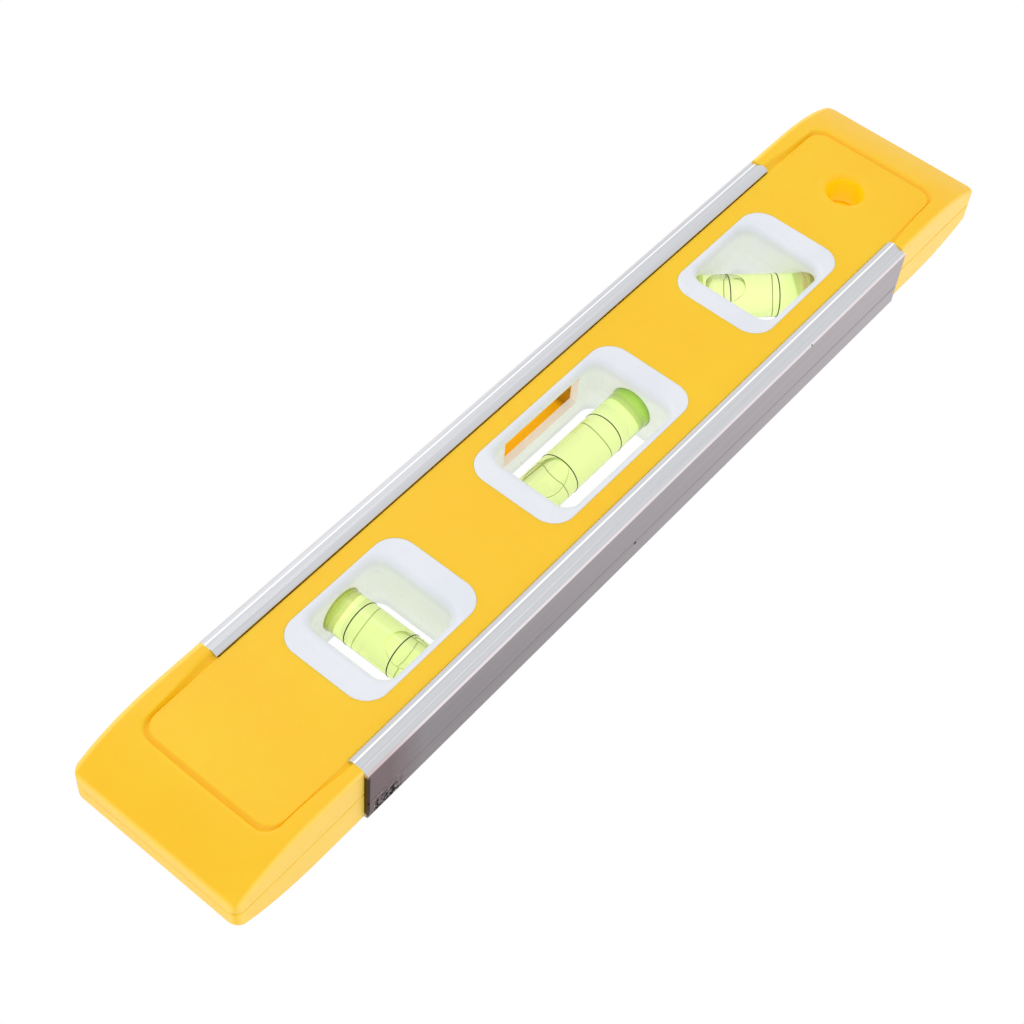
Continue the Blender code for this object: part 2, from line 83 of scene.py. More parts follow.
# x: middle; frame, opening: half widths; length: vial; turn: its angle in degrees; rings: gauge lines from the
# middle; shift: their shift along the vial; bubble, at: the bubble's length and place at rest
WINDOWS = {
    "level": dict(x=0.0, frame=22.15, opening=16.4, length=39.6, turn=0.0, rings=6.9, shift=0.5, bubble=11.0, at=-11.0),
    "plumb": dict(x=-58.0, frame=16.0, opening=9.7, length=26.4, turn=90.0, rings=5.2, shift=-0.2, bubble=8.4, at=-6.4),
    "angle": dict(x=58.0, frame=15.5, opening=9.7, length=31.0, turn=-45.0, rings=5.2, shift=-0.2, bubble=8.4, at=-6.0),
}
VIAL_R = 4.6
BORE_R = 3.8
NOTCH_R = 4.8
FRAME_GAP = 0.01
FRAME_SEAM = 0.03  # half of the gap between two half frames
RING_HALF = 0.115  # half of a gauge line's width
STOPPER_SPAN = 2.7  # length of a stopper, with its step
BARREL = 0.1  # how much wider the bore is at the middle of a vial
BUBBLE_HALF_WIDTH, BUBBLE_FLOOR, BUBBLE_TIP = 3.1, 1.1, 2.75  # heights are over the vial's axis
BED_SPARE = 0.15  # room past a vial's ends
BED_TOP = 5.6  # a pocket wall's row above its vial beds


# ---------------------------------------------------------------- meshes


def new_piece(name, parts, materials, body, nodes, sharp=32.0, weighted=True):
    """Joins patches into one mesh. Each patch is (points in mm, faces, material number)."""
    points, faces, marks, base = [], [], [], 0
    for pts, fcs, mark in parts:
        pts = np.asarray(pts, float).reshape(-1, 3)
        points.append(pts)
        faces.extend((fcs + base).tolist())
        marks.extend([mark] * len(fcs))
        base += len(pts)
    mesh = bpy.data.meshes.new(name)
    mesh.from_pydata((np.concatenate(points) * MM).tolist(), [], faces)
    mesh.polygons.foreach_set("material_index", np.array(marks, np.int32))
    bm = bmesh.new()
    bm.from_mesh(mesh)
    bmesh.ops.remove_doubles(bm, verts=bm.verts, dist=MERGE)
    bmesh.ops.dissolve_degenerate(bm, edges=bm.edges, dist=MERGE)
    bmesh.ops.recalc_face_normals(bm, faces=bm.faces)
    bm.to_mesh(mesh)
    bm.free()
    mesh.shade_smooth()
    mesh.set_sharp_from_angle(angle=np.radians(sharp))
    for m in materials:
        mesh.materials.append(m)
    obj = bpy.data.objects.new(name, mesh)
    bpy.context.scene.collection.objects.link(obj)
    if weighted:
        wn = obj.modifiers.new("flat faces stay flat", "WEIGHTED_NORMAL")
        wn.keep_sharp = True
        wn.weight = 100
    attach(obj, body)
    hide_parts(*nodes)
    return obj


def grid_faces(rows, cols, close_rows=False, close_cols=False):
    """Quads between neighbouring rows and columns of a grid."""
    r = np.arange(rows if close_rows else rows - 1)
    c = np.arange(cols if close_cols else cols - 1)
    a, b = np.meshgrid(r, c, indexing="ij")
    a2, b2 = (a + 1) % rows, (b + 1) % cols
    return np.stack([a * cols + b, a2 * cols + b, a2 * cols + b2, a * cols + b2], -1).reshape(-1, 4)


def grid(points, close_rows=False, close_cols=False, keep=None):
    """A patch from a (rows, cols, 3) array; keep, if given, says which quads stay."""
    rows, cols = points.shape[:2]
    faces = grid_faces(rows, cols, close_rows, close_cols)
    if keep is not None:
        faces = faces[keep.reshape(-1)]
    return points.reshape(-1, 3), faces, 0


def single_face(points):
    """A patch of one flat face, through its points in order."""
    return points, np.arange(len(points))[None], 0


def corner_path(hx, hy, r, start, end, n):
    """Quarter of a rounded rectangle, evenly by length: from (start, hy) on the top edge round to (hx, end)."""
    a = np.linspace(0, np.pi / 2, 65)
    arc = np.stack([hx - r + r * np.sin(a), hy - r + r * np.cos(a)], -1)
    line = np.concatenate([[[min(start, hx - r), hy]], arc, [[hx, min(end, hy - r)]]])
    step = np.r_[0, np.cumsum(np.hypot(*np.diff(line, axis=0).T))]
    s = np.linspace(0, step[-1], n)
    return np.stack([np.interp(s, step, line[:, 0]), np.interp(s, step, line[:, 1])], -1)


def rounded_loop(cx, hx, hy, r, xs, ys, n):
    """Closed loop round a rounded rectangle centred on (cx, 0), anticlockwise from the lower left.
    Straight stretches hold the stations xs and ys; each corner holds n points from one station to the next."""
    corner = corner_path(hx, hy, r, xs[-1], ys[-1], n)  # top right, from the top to the side
    top, side = np.full(len(xs), hy), np.full(len(ys), hx)
    stretches = [
        np.stack([xs, -top], -1),
        corner * [1, -1],
        np.stack([side, ys], -1),
        corner[::-1],
        np.stack([xs[::-1], top], -1),
        corner * [-1, 1],
        np.stack([-side, ys[::-1]], -1),
        corner[::-1] * [-1, -1],
    ]
    return np.concatenate([line[:-1] for line in stretches]) + [cx, 0]


def outward(loop):
    """Unit normals of a closed anticlockwise loop, pointing out."""
    d = np.roll(loop, -1, 0) - np.roll(loop, 1, 0)
    n = np.stack([d[:, 1], -d[:, 0]], -1)
    return n / np.linalg.norm(n, axis=1, keepdims=True)


def inside(pts, loop):
    """Even-odd test of points against one closed loop, for all of them at once."""
    a, b = loop, np.roll(loop, -1, 0)
    x, y = pts[:, None, 0], pts[:, None, 1]
    cross = (a[:, 1] > y) != (b[:, 1] > y)
    dy = np.where(b[:, 1] == a[:, 1], 1.0, b[:, 1] - a[:, 1])
    at = a[:, 0] + (y - a[:, 1]) / dy * (b[:, 0] - a[:, 0])
    return (np.where(cross, x < at, False).sum(1) % 2) == 1


def filled(outer, holes, z, cut=None):
    """Flat patch at height z between an outer loop and its holes, less what cut says."""
    loops = [outer] + list(holes)
    pts = np.concatenate(loops)
    edges, base = [], 0
    for lp in loops:
        i = np.arange(len(lp))
        edges.append(np.stack([i, (i + 1) % len(lp)], -1) + base)
        base += len(lp)
    edges = np.concatenate(edges)
    out = delaunay_2d_cdt([Vector(p) for p in pts.tolist()], edges.tolist(), [], 0, 1e-6)
    v = np.array([[p.x, p.y] for p in out[0]])
    t = np.array(out[2])
    mid = v[t].mean(1)
    ok = inside(mid, outer)
    for h in holes:
        ok &= ~inside(mid, h)
    if cut is not None:
        ok &= ~cut(mid)
    return np.c_[v, np.full(len(v), z)], t[ok], 0


def raise_loops(loop, normal, offsets, heights):
    """Profile carried along a loop: row k is the loop moved out by offsets[k], at heights[k]."""
    offsets, heights = np.asarray(offsets, float), np.asarray(heights, float)
    xy = loop[None] + normal[None] * offsets[:, None, None]
    z = np.broadcast_to(heights.reshape(len(heights), -1), (len(heights), len(loop)))
    return np.concatenate([xy, z[..., None]], -1)


def flip(parts, side):
    """Sets patches at the seam's height, mirrored below it for the back half."""
    out = []
    for pts, faces, mark in parts:
        p = np.asarray(pts, float).reshape(-1, 3) * [1, 1, side] + [0, 0, MID]
        out.append((p, faces, mark))
    return out


# ---------------------------------------------------------------- materials


KNOCKS = ((-7.75, MID - 2.71, 0.42), (49.1, MID + 7.1, 0.3))  # along, up, radius: on the web and on the shoulder
SPIRIT_PAINTED_GLOW = {"level": 48.0, "plumb": 66.0, "angle": 48.0}  # painted glow of the spirit, per metre of depth


class Nodes:
    """Short way to add and join shader nodes."""

    def __init__(self, name):
        self.m = bpy.data.materials.new(name)
        self.m.use_nodes = True
        self.m.cycles.emission_sampling = "NONE"  # a faint glow isn't a lamp
        self.t = self.m.node_tree
        self.t.nodes.clear()
        self.out = self.t.nodes.new("ShaderNodeOutputMaterial")
        self.p = self.t.nodes.new("ShaderNodeBsdfPrincipled")
        self.t.links.new(self.p.outputs[0], self.out.inputs[0])
        self.co = self.t.nodes.new("ShaderNodeTexCoord").outputs["Object"]

    def link(self, a, b):
        self.t.links.new(a, b)

    def mapped(self, scale, rotation=(0, 0, 0)):
        n = self.t.nodes.new("ShaderNodeMapping")
        n.inputs["Scale"].default_value = scale
        n.inputs["Rotation"].default_value = rotation
        self.link(self.co, n.inputs["Vector"])
        return n.outputs[0]

    def noise(self, vector, scale, detail=3.0, rough=0.5, distortion=0.0):
        n = self.t.nodes.new("ShaderNodeTexNoise")
        self.link(vector, n.inputs["Vector"])
        n.inputs["Scale"].default_value = scale
        n.inputs["Detail"].default_value = detail
        n.inputs["Roughness"].default_value = rough
        n.inputs["Distortion"].default_value = distortion
        return n.outputs["Fac"]

    def ramp(self, value, stops):
        n = self.t.nodes.new("ShaderNodeValToRGB")
        self.link(value, n.inputs[0])
        el = n.color_ramp.elements
        while len(el) < len(stops):
            el.new(0.5)
        for e, (at, colour) in zip(el, stops):
            e.position = at
            e.color = (*colour, 1)
        return n.outputs[0]

    def range(self, value, a, b, c, d, smooth=False):
        n = self.t.nodes.new("ShaderNodeMapRange")
        n.clamp = True
        if smooth:
            n.interpolation_type = "SMOOTHSTEP"
        self.link(value, n.inputs["Value"])
        for k, v in zip(("From Min", "From Max", "To Min", "To Max"), (a, b, c, d)):
            n.inputs[k].default_value = v
        return n.outputs[0]

    def math(self, op, a, b=None):
        n = self.t.nodes.new("ShaderNodeMath")
        n.operation = op
        for i, v in enumerate((a, b)):
            if v is None:
                continue
            if isinstance(v, (int, float)):
                n.inputs[i].default_value = v
            else:
                self.link(v, n.inputs[i])
        return n.outputs[0]

    def mix(self, fac, a, b, kind="MIX"):
        n = self.t.nodes.new("ShaderNodeMix")
        n.data_type = "RGBA"
        n.blend_type = kind
        for i, v in ((0, fac), (6, a), (7, b)):
            if isinstance(v, (int, float)):
                n.inputs[i].default_value = v
            elif isinstance(v, tuple):
                n.inputs[i].default_value = (*v, 1)
            else:
                self.link(v, n.inputs[i])
        return n.outputs[2]

    def times(self, a, b):
        return self.math("MULTIPLY", a, b)

    def away(self, a, b):
        """Distance of a value from b, either way."""
        return self.math("ABSOLUTE", self.math("SUBTRACT", a, b))

    def axes(self):
        n = self.t.nodes.new("ShaderNodeSeparateXYZ")
        self.link(self.co, n.inputs[0])
        return n.outputs

    def bump(self, height, distance, strength=1.0, normal=None):
        n = self.t.nodes.new("ShaderNodeBump")
        n.inputs["Distance"].default_value = distance
        n.inputs["Strength"].default_value = strength
        self.link(height, n.inputs["Height"])
        if normal is not None:
            self.link(normal, n.inputs["Normal"])
        return n.outputs[0]


def yellow_plastic():
    """Moulded ABS: a soft cloudy yellow with a fine satin texture."""
    k = Nodes("moulded yellow")
    k.p.inputs["Specular IOR Level"].default_value = 0.42
    k.p.inputs["Subsurface Weight"].default_value = 0.25
    k.p.inputs["Subsurface Radius"].default_value = (1.0, 0.45, 0.05)
    k.p.inputs["Subsurface Scale"].default_value = 0.0022
    cloud = k.noise(k.co, 38.0, 3.0, 0.55)
    fine = k.noise(k.co, 2600.0, 2.0, 0.6)
    colour = k.ramp(cloud, [(0.3, (1.0, 0.565, 0.004)), (0.7, (1.0, 0.61, 0.008))])
    colour = k.mix(k.range(fine, 0.35, 0.7, 0.0, 0.10), colour, (0.9, 0.50, 0.002))
    x, y, z = k.axes()
    up = k.away(z, MID * MM)
    out, across = k.math("ABSOLUTE", x), k.math("ABSOLUTE", y)
    # painted shade: a deeper orange painted in the groove round the panel
    sunk = k.times(k.range(up, 0.00690, 0.00724, 1.0, 0.0), k.range(up, 0.0064, 0.0067, 0.0, 1.0))
    past = k.range(out, RAIL_X * MM, (RAIL_X + 1) * MM, 0.0, 1.0)
    past = k.times(past, k.range(out, 0.1034, 0.1038, 1.0, 0.0))
    colour = k.mix(k.times(k.times(sunk, past), 0.6), colour, (1.0, 0.46, 0.0))
    # painted light: the end blocks' flanks and tips are painted paler
    past_rail = k.range(out, RAIL_X * MM, (RAIL_X + 0.2) * MM, 0.0, 1.0)
    flank_painted_light = k.times(k.range(across, 0.0186, 0.0192, 0.0, 1.0), past_rail)
    flank_painted_light = k.math("MAXIMUM", flank_painted_light, k.range(out, 0.1143, 0.1149, 0.0, 1.0))
    colour = k.mix(k.times(flank_painted_light, 0.5), colour, (1.0, 0.76, 0.24))
    # shade at the right end of the slot
    shade = k.times(k.range(x, 0.0117, 0.0118, 1.0, 0.0), k.range(y, 0.0114, 0.0116, 0.0, 1.0))
    shade = k.times(k.range(x, 0.0098, 0.0114, 0.0, 0.85), shade)
    shade = k.times(shade, k.range(up, 0.0043, 0.0044, 1.0, 0.0))
    colour = k.mix(shade, colour, (0.30, 0.13, 0.01))
    k.link(colour, k.p.inputs["Base Color"])
    # a painted glow brightens the hang hole, the slot and the flanks
    from_hole = k.math("POWER", k.math("SUBTRACT", x, HANG_X * MM), 2.0)
    from_hole = k.math("SQRT", k.math("ADD", from_hole, k.math("POWER", y, 2.0)))
    hole = k.range(from_hole, 0.0041, 0.0047, 1.0, 0.0)
    slot = k.times(k.range(up, 0.00425, 0.0043, 1.0, 0.0), k.range(y, 0.0186, 0.0187, 1.0, 0.0))
    slot = k.times(k.range(out, 0.0116, 0.0117, 1.0, 0.0), slot)
    k.p.inputs["Emission Color"].default_value = (1.0, 0.5, 0.0, 1)
    lit = k.math("ADD", k.times(hole, 0.3), k.times(slot, 0.12))
    k.link(k.math("ADD", lit, k.times(flank_painted_light, 0.11)), k.p.inputs["Emission Strength"])
    k.link(k.range(k.noise(k.co, 260.0, 4.0), 0.3, 0.7, 0.3, 0.42), k.p.inputs["Roughness"])
    sag = k.noise(k.mapped((22, 30, 22)), 1.0, 1.0)
    k.link(k.bump(fine, 0.00003, 0.55, k.bump(sag, 0.0009, 0.35)), k.p.inputs["Normal"])
    return k.m


def white_plastic():
    """Cool white ABS of the window frames, with a faint painted glow on their inner walls."""
    k = Nodes("white frame plastic")
    k.p.inputs["Specular IOR Level"].default_value = 0.5
    cloud = k.noise(k.co, 90.0, 3.0)
    k.link(k.ramp(cloud, [(0.3, (0.77, 0.80, 0.86)), (0.7, (0.83, 0.85, 0.89))]), k.p.inputs["Base Color"])
    k.link(k.range(k.noise(k.co, 420.0, 3.0), 0.3, 0.7, 0.26, 0.4), k.p.inputs["Roughness"])
    k.link(k.bump(k.noise(k.co, 1500.0, 2.0), 0.00001, 0.05), k.p.inputs["Normal"])
    # painted glow: the walls of the wells glow a little, more the deeper down them
    up = k.away(k.axes()[2], MID * MM)
    k.p.inputs["Emission Color"].default_value = (1.0, 0.93, 0.80, 1)
    k.link(k.range(up, 0.0040, 0.0072, 0.13, 0.0, True), k.p.inputs["Emission Strength"])
    return k.m


def stake_mark(k, x, y, z, colour):
    """A rough punched patch near the web's left end, with pale strokes over it, and two small knocks.
    Returns the colour with them, and where the metal is sunk."""
    web = k.range(y, -0.0198, -0.0201, 0.0, 1.0)
    along, high = k.math("ABSOLUTE", k.math("ADD", x, 0.0787)), k.away(z, 0.0027)
    patch = k.times(k.range(along, 0.0026, 0.0044, 1.0, 0.0), k.range(high, 0.0014, 0.0028, 1.0, 0.0))
    scrawl = k.noise(k.mapped((900, 900, 520), rotation=(0, 0.6, 0)), 1.0, 3.0, 0.7, 1.6)
    dark = k.times(k.times(patch, k.range(scrawl, 0.44, 0.5, 0.0, 1.0)), web)
    colour = k.mix(dark, colour, (0.035, 0.03, 0.032))
    stroke = k.noise(k.mapped((700, 700, 1500), rotation=(0, 0.9, 0)), 1.0, 2.0, 0.6, 1.2)
    wide = k.times(k.range(along, 0.0036, 0.0056, 1.0, 0.0), k.range(high, 0.0022, 0.0042, 1.0, 0.0))
    pale = k.times(k.times(k.range(stroke, 0.57, 0.62, 0.0, 1.0), wide), web)
    colour = k.mix(pale, colour, (0.78, 0.73, 0.73))
    for at_x, at_z, size in KNOCKS:
        far_x = k.math("POWER", k.math("SUBTRACT", x, at_x * MM), 2.0)
        far_z = k.math("POWER", k.math("SUBTRACT", z, at_z * MM), 2.0)
        far = k.math("SQRT", k.math("ADD", far_x, far_z))
        knock = k.range(far, size * MM / 2, size * MM, 1.0, 0.0)
        knock = k.times(knock, k.range(y, -0.0192, -0.0195, 0.0, 1.0))
        dark = k.math("MAXIMUM", dark, knock)
        colour = k.mix(knock, colour, (0.03, 0.025, 0.028))
    return colour, dark


def brushed_metal(mark=False):
    """Drawn aluminium: streaks along X, with painted highlights on the ridges and shoulders and painted shade on the
    webs.
    """
    k = Nodes("brushed rail metal" + (" with stake mark" if mark else ""))
    k.p.inputs["Metallic"].default_value = 1.0
    streak = k.noise(k.mapped((14, 2600, 2600)), 1.0, 4.0, 0.6)
    long = k.noise(k.mapped((4, 620, 620)), 1.0, 3.0, 0.5)
    colour = k.ramp(streak, [(0.25, (0.63, 0.64, 0.67)), (0.5, (0.71, 0.725, 0.755)), (0.8, (0.79, 0.80, 0.83))])
    colour = k.mix(k.range(long, 0.35, 0.75, 0.0, 0.35), colour, (0.60, 0.60, 0.63))
    rough = k.range(streak, 0.25, 0.8, 0.27, 0.42)
    height = streak
    x, y, z = k.axes()
    across = k.math("ABSOLUTE", y)
    up = k.away(z, MID * MM)
    # painted highlights, with a painted glow, along the ridge of the lips and along the shoulders
    lower = k.range(k.math("ABSOLUTE", k.math("ADD", y, 0.01692)), 0.00008, 0.00022, 1.0, 0.0)
    upper = k.range(k.away(y, 0.0188), 0.00008, 0.00022, 1.0, 0.0)
    ridge = k.math("MAXIMUM", lower, upper)
    shoulder = k.range(k.away(k.math("ADD", across, up), 0.02736), 0.00005, 0.00014, 1.0, 0.0)
    painted_highlight = k.times(k.math("MAXIMUM", ridge, shoulder), k.range(up, 0.0066, 0.0069, 0.0, 1.0))
    colour = k.mix(k.times(painted_highlight, 0.85), colour, (0.98, 0.98, 1.0))
    k.p.inputs["Emission Color"].default_value = (1.0, 1.0, 1.0, 1)
    k.link(k.times(k.times(painted_highlight, k.range(long, 0.3, 0.7, 0.5, 1.0)), 0.3), k.p.inputs["Emission Strength"])
    # painted shade: the webs are painted darker than the lips
    web_face = k.range(across, 0.0197, 0.0199, 0.0, 1.0)
    colour = k.mix(web_face, colour, (0.78, 0.70, 0.71), "MULTIPLY")
    # painted shade in the shallow groove along each web
    groove_shade = k.range(k.away(z, (MID - 2.3) * MM), 0.0001, 0.00024, 1.0, 0.0)
    colour = k.mix(k.times(k.times(groove_shade, web_face), 0.7), colour, (0.2, 0.18, 0.19))
    if mark:
        # painted shade darkens the web towards its left end, and its cut edge is dark brown
        left = k.times(k.range(x, -0.0780, -0.0690, 1.0, 0.0), web_face)
        colour = k.mix(left, colour, (0.73, 0.58, 0.58), "MULTIPLY")
        cut = k.times(k.range(across, 0.0186, 0.0190, 0.0, 1.0), k.range(up, 0.0062, 0.0066, 1.0, 0.0))
        cut = k.times(cut, k.range(x, -0.08335, -0.0830, 1.0, 0.0))
        colour, dark = stake_mark(k, x, y, z, k.mix(cut, colour, (0.03, 0.008, 0.002)))
        height = k.math("SUBTRACT", streak, k.times(dark, 4.0))
        rough = k.math("ADD", rough, k.times(dark, 0.3))
    k.link(colour, k.p.inputs["Base Color"])
    k.link(rough, k.p.inputs["Roughness"])
    k.link(k.bump(height, 0.000008, 0.35), k.p.inputs["Normal"])
    return k.m


def lamp_through(k):
    """Lets lamp light pass: shadow rays meet a clear surface in place of the glass."""
    path = k.t.nodes.new("ShaderNodeLightPath").outputs["Is Shadow Ray"]
    clear = k.t.nodes.new("ShaderNodeBsdfTransparent")
    clear.inputs["Color"].default_value = (0.985, 1.0, 0.95, 1)
    mix = k.t.nodes.new("ShaderNodeMixShader")
    k.link(path, mix.inputs[0])
    k.link(k.p.outputs[0], mix.inputs[1])
    k.link(clear.outputs[0], mix.inputs[2])
    k.link(mix.outputs[0], k.out.inputs[0])


def bore_wall():
    """The tube's inner wall, where the acrylic meets the spirit and bends light only a little."""
    k = Nodes("acrylic against spirit")
    k.p.inputs["Transmission Weight"].default_value = 1.0
    k.p.inputs["IOR"].default_value = 1.09
    faint = k.noise(k.co, 700.0, 2.0)
    k.link(k.ramp(faint, [(0.3, (0.985, 0.985, 0.985)), (0.7, (1.0, 1.0, 1.0))]), k.p.inputs["Base Color"])
    k.link(k.range(faint, 0.45, 0.75, 0.0, 0.0), k.p.inputs["Roughness"])
    lamp_through(k)
    return k.m


def axis_place(k, window):
    """Place along a vial's own axis, in metres from its middle."""
    spec = WINDOWS[window]
    x, y, _ = k.axes()
    a = np.radians(spec["turn"])
    x = k.times(k.math("SUBTRACT", x, spec["x"] * MM), float(np.cos(a)))
    return k.math("ADD", x, k.times(y, float(np.sin(a))))


CLEAR = (0.985, 0.995, 0.975)
# painted shade and painted colours of what is seen through each tube's wall, from its closed end to its mouth: (mm from
# the middle, colour)
TUBE_PAINTED_SHADE = {
    "level": [(-19.8, CLEAR), (11.8, CLEAR), (16.6, (0.72, 0.88, 0.62)), (19.8, (0.7, 0.85, 0.6))],
    "plumb": [
        (-13.2, CLEAR), (7.4, CLEAR), (8.2, (0.90, 0.95, 0.86)), (8.6, (0.97, 0.97, 0.93)), (8.9, (0.84, 0.70, 0.66)),
        (9.3, (0.95, 0.86, 0.86)), (9.6, (0.74, 0.58, 0.52)), (10.2, (0.86, 0.72, 0.66)), (13.2, (0.86, 0.72, 0.66)),
    ],
    "angle": [
        (-15.5, (0.8, 0.62, 0.4)), (-12.2, (0.84, 0.70, 0.45)), (-11.2, (0.95, 0.92, 0.8)), (-10.4, CLEAR),
        (7.6, CLEAR),
        (8.6, (0.80, 0.96, 0.76)), (9.5, (0.82, 0.96, 0.78)), (9.9, (0.90, 0.71, 0.86)), (10.5, (0.90, 0.73, 0.90)),
        (10.8, (0.84, 0.62, 0.72)), (11.1, (1.0, 0.97, 1.0)), (11.5, (1.0, 0.95, 1.0)), (11.8, (0.80, 0.48, 0.40)),
        (12.6, (0.84, 0.52, 0.40)), (15.5, (0.82, 0.56, 0.42)),
    ],
}
# painted shade and painted highlights on each stopper, as shares of its length
STOPPER_PAINTED_LIGHT = {
    "level": [(0.0, (0.44, 0.62, 0.26)), (0.6, (0.16, 0.32, 0.1)), (0.9, (0.1, 0.2, 0.06))],
    "plumb": [
        (0.0, (0.40, 0.44, 0.14)), (0.4, (0.34, 0.33, 0.12)), (0.62, (0.24, 0.16, 0.05)), (0.9, (0.35, 0.24, 0.08)),
    ],
    "angle": [
        (0.0, (0.50, 0.52, 0.26)), (0.3, (0.45, 0.30, 0.22)), (0.5, (0.6, 0.5, 0.42)),
        (0.6, (0.28, 0.16, 0.07)), (0.75, (0.85, 0.85, 0.8)), (0.9, (0.42, 0.18, 0.03)),
    ],
}


def tube_stuff(window):
    """Clear acrylic with painted shade and painted colours towards the ends, standing in for the stopper, the frame and
    the shaded pocket seen through it.
    """
    k = Nodes(window + " clear acrylic")
    k.p.inputs["Transmission Weight"].default_value = 1.0
    k.p.inputs["IOR"].default_value = 1.49
    faint = k.noise(k.co, 700.0, 2.0)
    half = WINDOWS[window]["length"] / 2
    place = k.math("ADD", axis_place(k, window), k.range(faint, 0.3, 0.7, -0.0001, 0.0001))
    place = k.range(place, -half * MM, half * MM, 0.0, 1.0)
    stops = [((at + half) / (2 * half), colour) for at, colour in TUBE_PAINTED_SHADE[window]]
    k.link(k.ramp(place, stops), k.p.inputs["Base Color"])
    k.link(k.range(faint, 0.45, 0.75, 0.0, 0.02), k.p.inputs["Roughness"])
    lamp_through(k)
    return k.m


def spirit_stuff(window):
    """Dyed spirit: its skin tints what is seen through it, and a painted glow brightens it through its depth."""
    k = Nodes(window + " green spirit")
    k.p.inputs["Transmission Weight"].default_value = 1.0
    k.p.inputs["IOR"].default_value = 1.0
    k.p.inputs["Roughness"].default_value = 0.0
    faint = k.noise(k.co, 160.0, 2.0)
    k.link(k.ramp(faint, [(0.3, (0.91, 0.995, 0.46)), (0.7, (0.93, 1.0, 0.51))]), k.p.inputs["Base Color"])
    lamp_through(k)
    glow = k.t.nodes.new("ShaderNodeEmission")
    glow.inputs["Color"].default_value = (0.78, 0.96, 0.36, 1)
    glow.inputs["Strength"].default_value = SPIRIT_PAINTED_GLOW[window]
    k.link(glow.outputs[0], k.out.inputs["Volume"])
    return k.m


def gauge_ink():
    """Near-black ink of the gauge lines, a little uneven."""
    k = Nodes("gauge line ink")
    n = k.noise(k.co, 600.0, 3.0)
    k.link(k.ramp(n, [(0.3, (0.012, 0.016, 0.008)), (0.7, (0.03, 0.035, 0.02))]), k.p.inputs["Base Color"])
    k.link(k.range(n, 0.3, 0.7, 0.4, 0.6), k.p.inputs["Roughness"])
    k.link(k.bump(k.noise(k.co, 3600.0, 2.0), 0.00002, 0.5), k.p.inputs["Normal"])
    return k.m


def stopper_stuff(window):
    """Stopper plastic, banded along its own axis with painted shade and painted highlights over its colour."""
    k = Nodes(window + " stopper")
    half = WINDOWS[window]["length"] / 2
    place = k.range(axis_place(k, window), (half - STOPPER_SPAN) * MM, half * MM, 0.0, 1.0)
    place = k.math("ADD", place, k.range(k.noise(k.co, 500.0, 2.0), 0.3, 0.7, -0.05, 0.05))
    k.link(k.ramp(place, STOPPER_PAINTED_LIGHT[window]), k.p.inputs["Base Color"])
    k.link(k.range(k.noise(k.co, 900.0, 2.0), 0.3, 0.7, 0.3, 0.5), k.p.inputs["Roughness"])
    return k.m


def bubble_air():
    """Air in the spirit: clear in the middle, with painted shade in a darker teal where its wall is seen edge on."""
    k = Nodes("bubble air")
    k.p.inputs["Transmission Weight"].default_value = 1.0
    k.p.inputs["IOR"].default_value = 0.8
    k.p.inputs["Roughness"].default_value = 0.0
    lw = k.t.nodes.new("ShaderNodeLayerWeight")
    lw.inputs["Blend"].default_value = 0.32
    faint = k.noise(k.co, 300.0, 2.0)
    edge = k.math("ADD", lw.outputs["Facing"], k.range(faint, 0.3, 0.7, -0.03, 0.03))
    k.link(k.ramp(edge, [(0.5, (1.0, 1.0, 0.98)), (0.85, (0.3, 0.55, 0.35))]), k.p.inputs["Base Color"])
    lamp_through(k)
    return k.m


YELLOW = yellow_plastic()
WHITE = white_plastic()
METAL = brushed_metal()
MARKED_METAL = brushed_metal(True)
ACRYLIC = {w: tube_stuff(w) for w in WINDOWS}
BORE = bore_wall()
SPIRIT = {w: spirit_stuff(w) for w in WINDOWS}
AIR = bubble_air()
STOPPERS = {w: stopper_stuff(w) for w in WINDOWS}
LINE = gauge_ink()


# ---------------------------------------------------------------- moulded body


def crown(x, drop=CURVE_DROP):
    """Half thickness of the ends: level up to CURVE_X, then falling along a power curve by the drop at the tip."""
    t = np.clip((np.abs(x) - CURVE_X) / (END_X - CURVE_X), 0, 1)
    return CROWN_Z - drop * t**CURVE_POWER


def end_paths():
    """Panel edge and outer edge of one end, station by station, from the near side round the tip to the far side."""

    def u_path(x1, y, r, n_side, n_arc, n_tip, far_y):
        a = np.linspace(0, np.pi / 2, n_arc + 1)[1:]
        side = np.stack([np.linspace(RAIL_X, x1 - r, n_side), np.full(n_side, -y)], -1)
        arc = np.stack([x1 - r + r * np.sin(a), -(y - r) - r * np.cos(a)], -1)
        tip = np.stack([np.full(n_tip, x1), np.linspace(-(y - r), y - r, n_tip + 1)[1:]], -1)
        half = np.concatenate([side, arc])
        loop = np.concatenate([half, tip[:-1], half[::-1] * [1, -1]])
        share = np.clip(loop[:, 1] / y, 0, 1)
        return loop + np.stack([0 * share, share * (far_y - y)], -1)

    panel = u_path(PANEL_X, PANEL_Y, PANEL_CORNER, 12, 12, 10, PANEL_Y)
    return panel, u_path(END_X, END_Y, END_CORNER, 12, 12, 10, END_FAR_Y)


def notch(x, y, spec):
    """Height of the half round cut that a vial lies in, over a point of the plan."""
    a = np.radians(spec["turn"])
    s = -(x - spec["x"]) * np.sin(a) + y * np.cos(a)
    t = (x - spec["x"]) * np.cos(a) + y * np.sin(a)
    high = np.sqrt(np.clip(NOTCH_R**2 - s**2, 0, None))
    return np.where(np.abs(t) > spec["opening"] * 0.5, np.maximum(high, FRAME_SEAM), FRAME_SEAM)


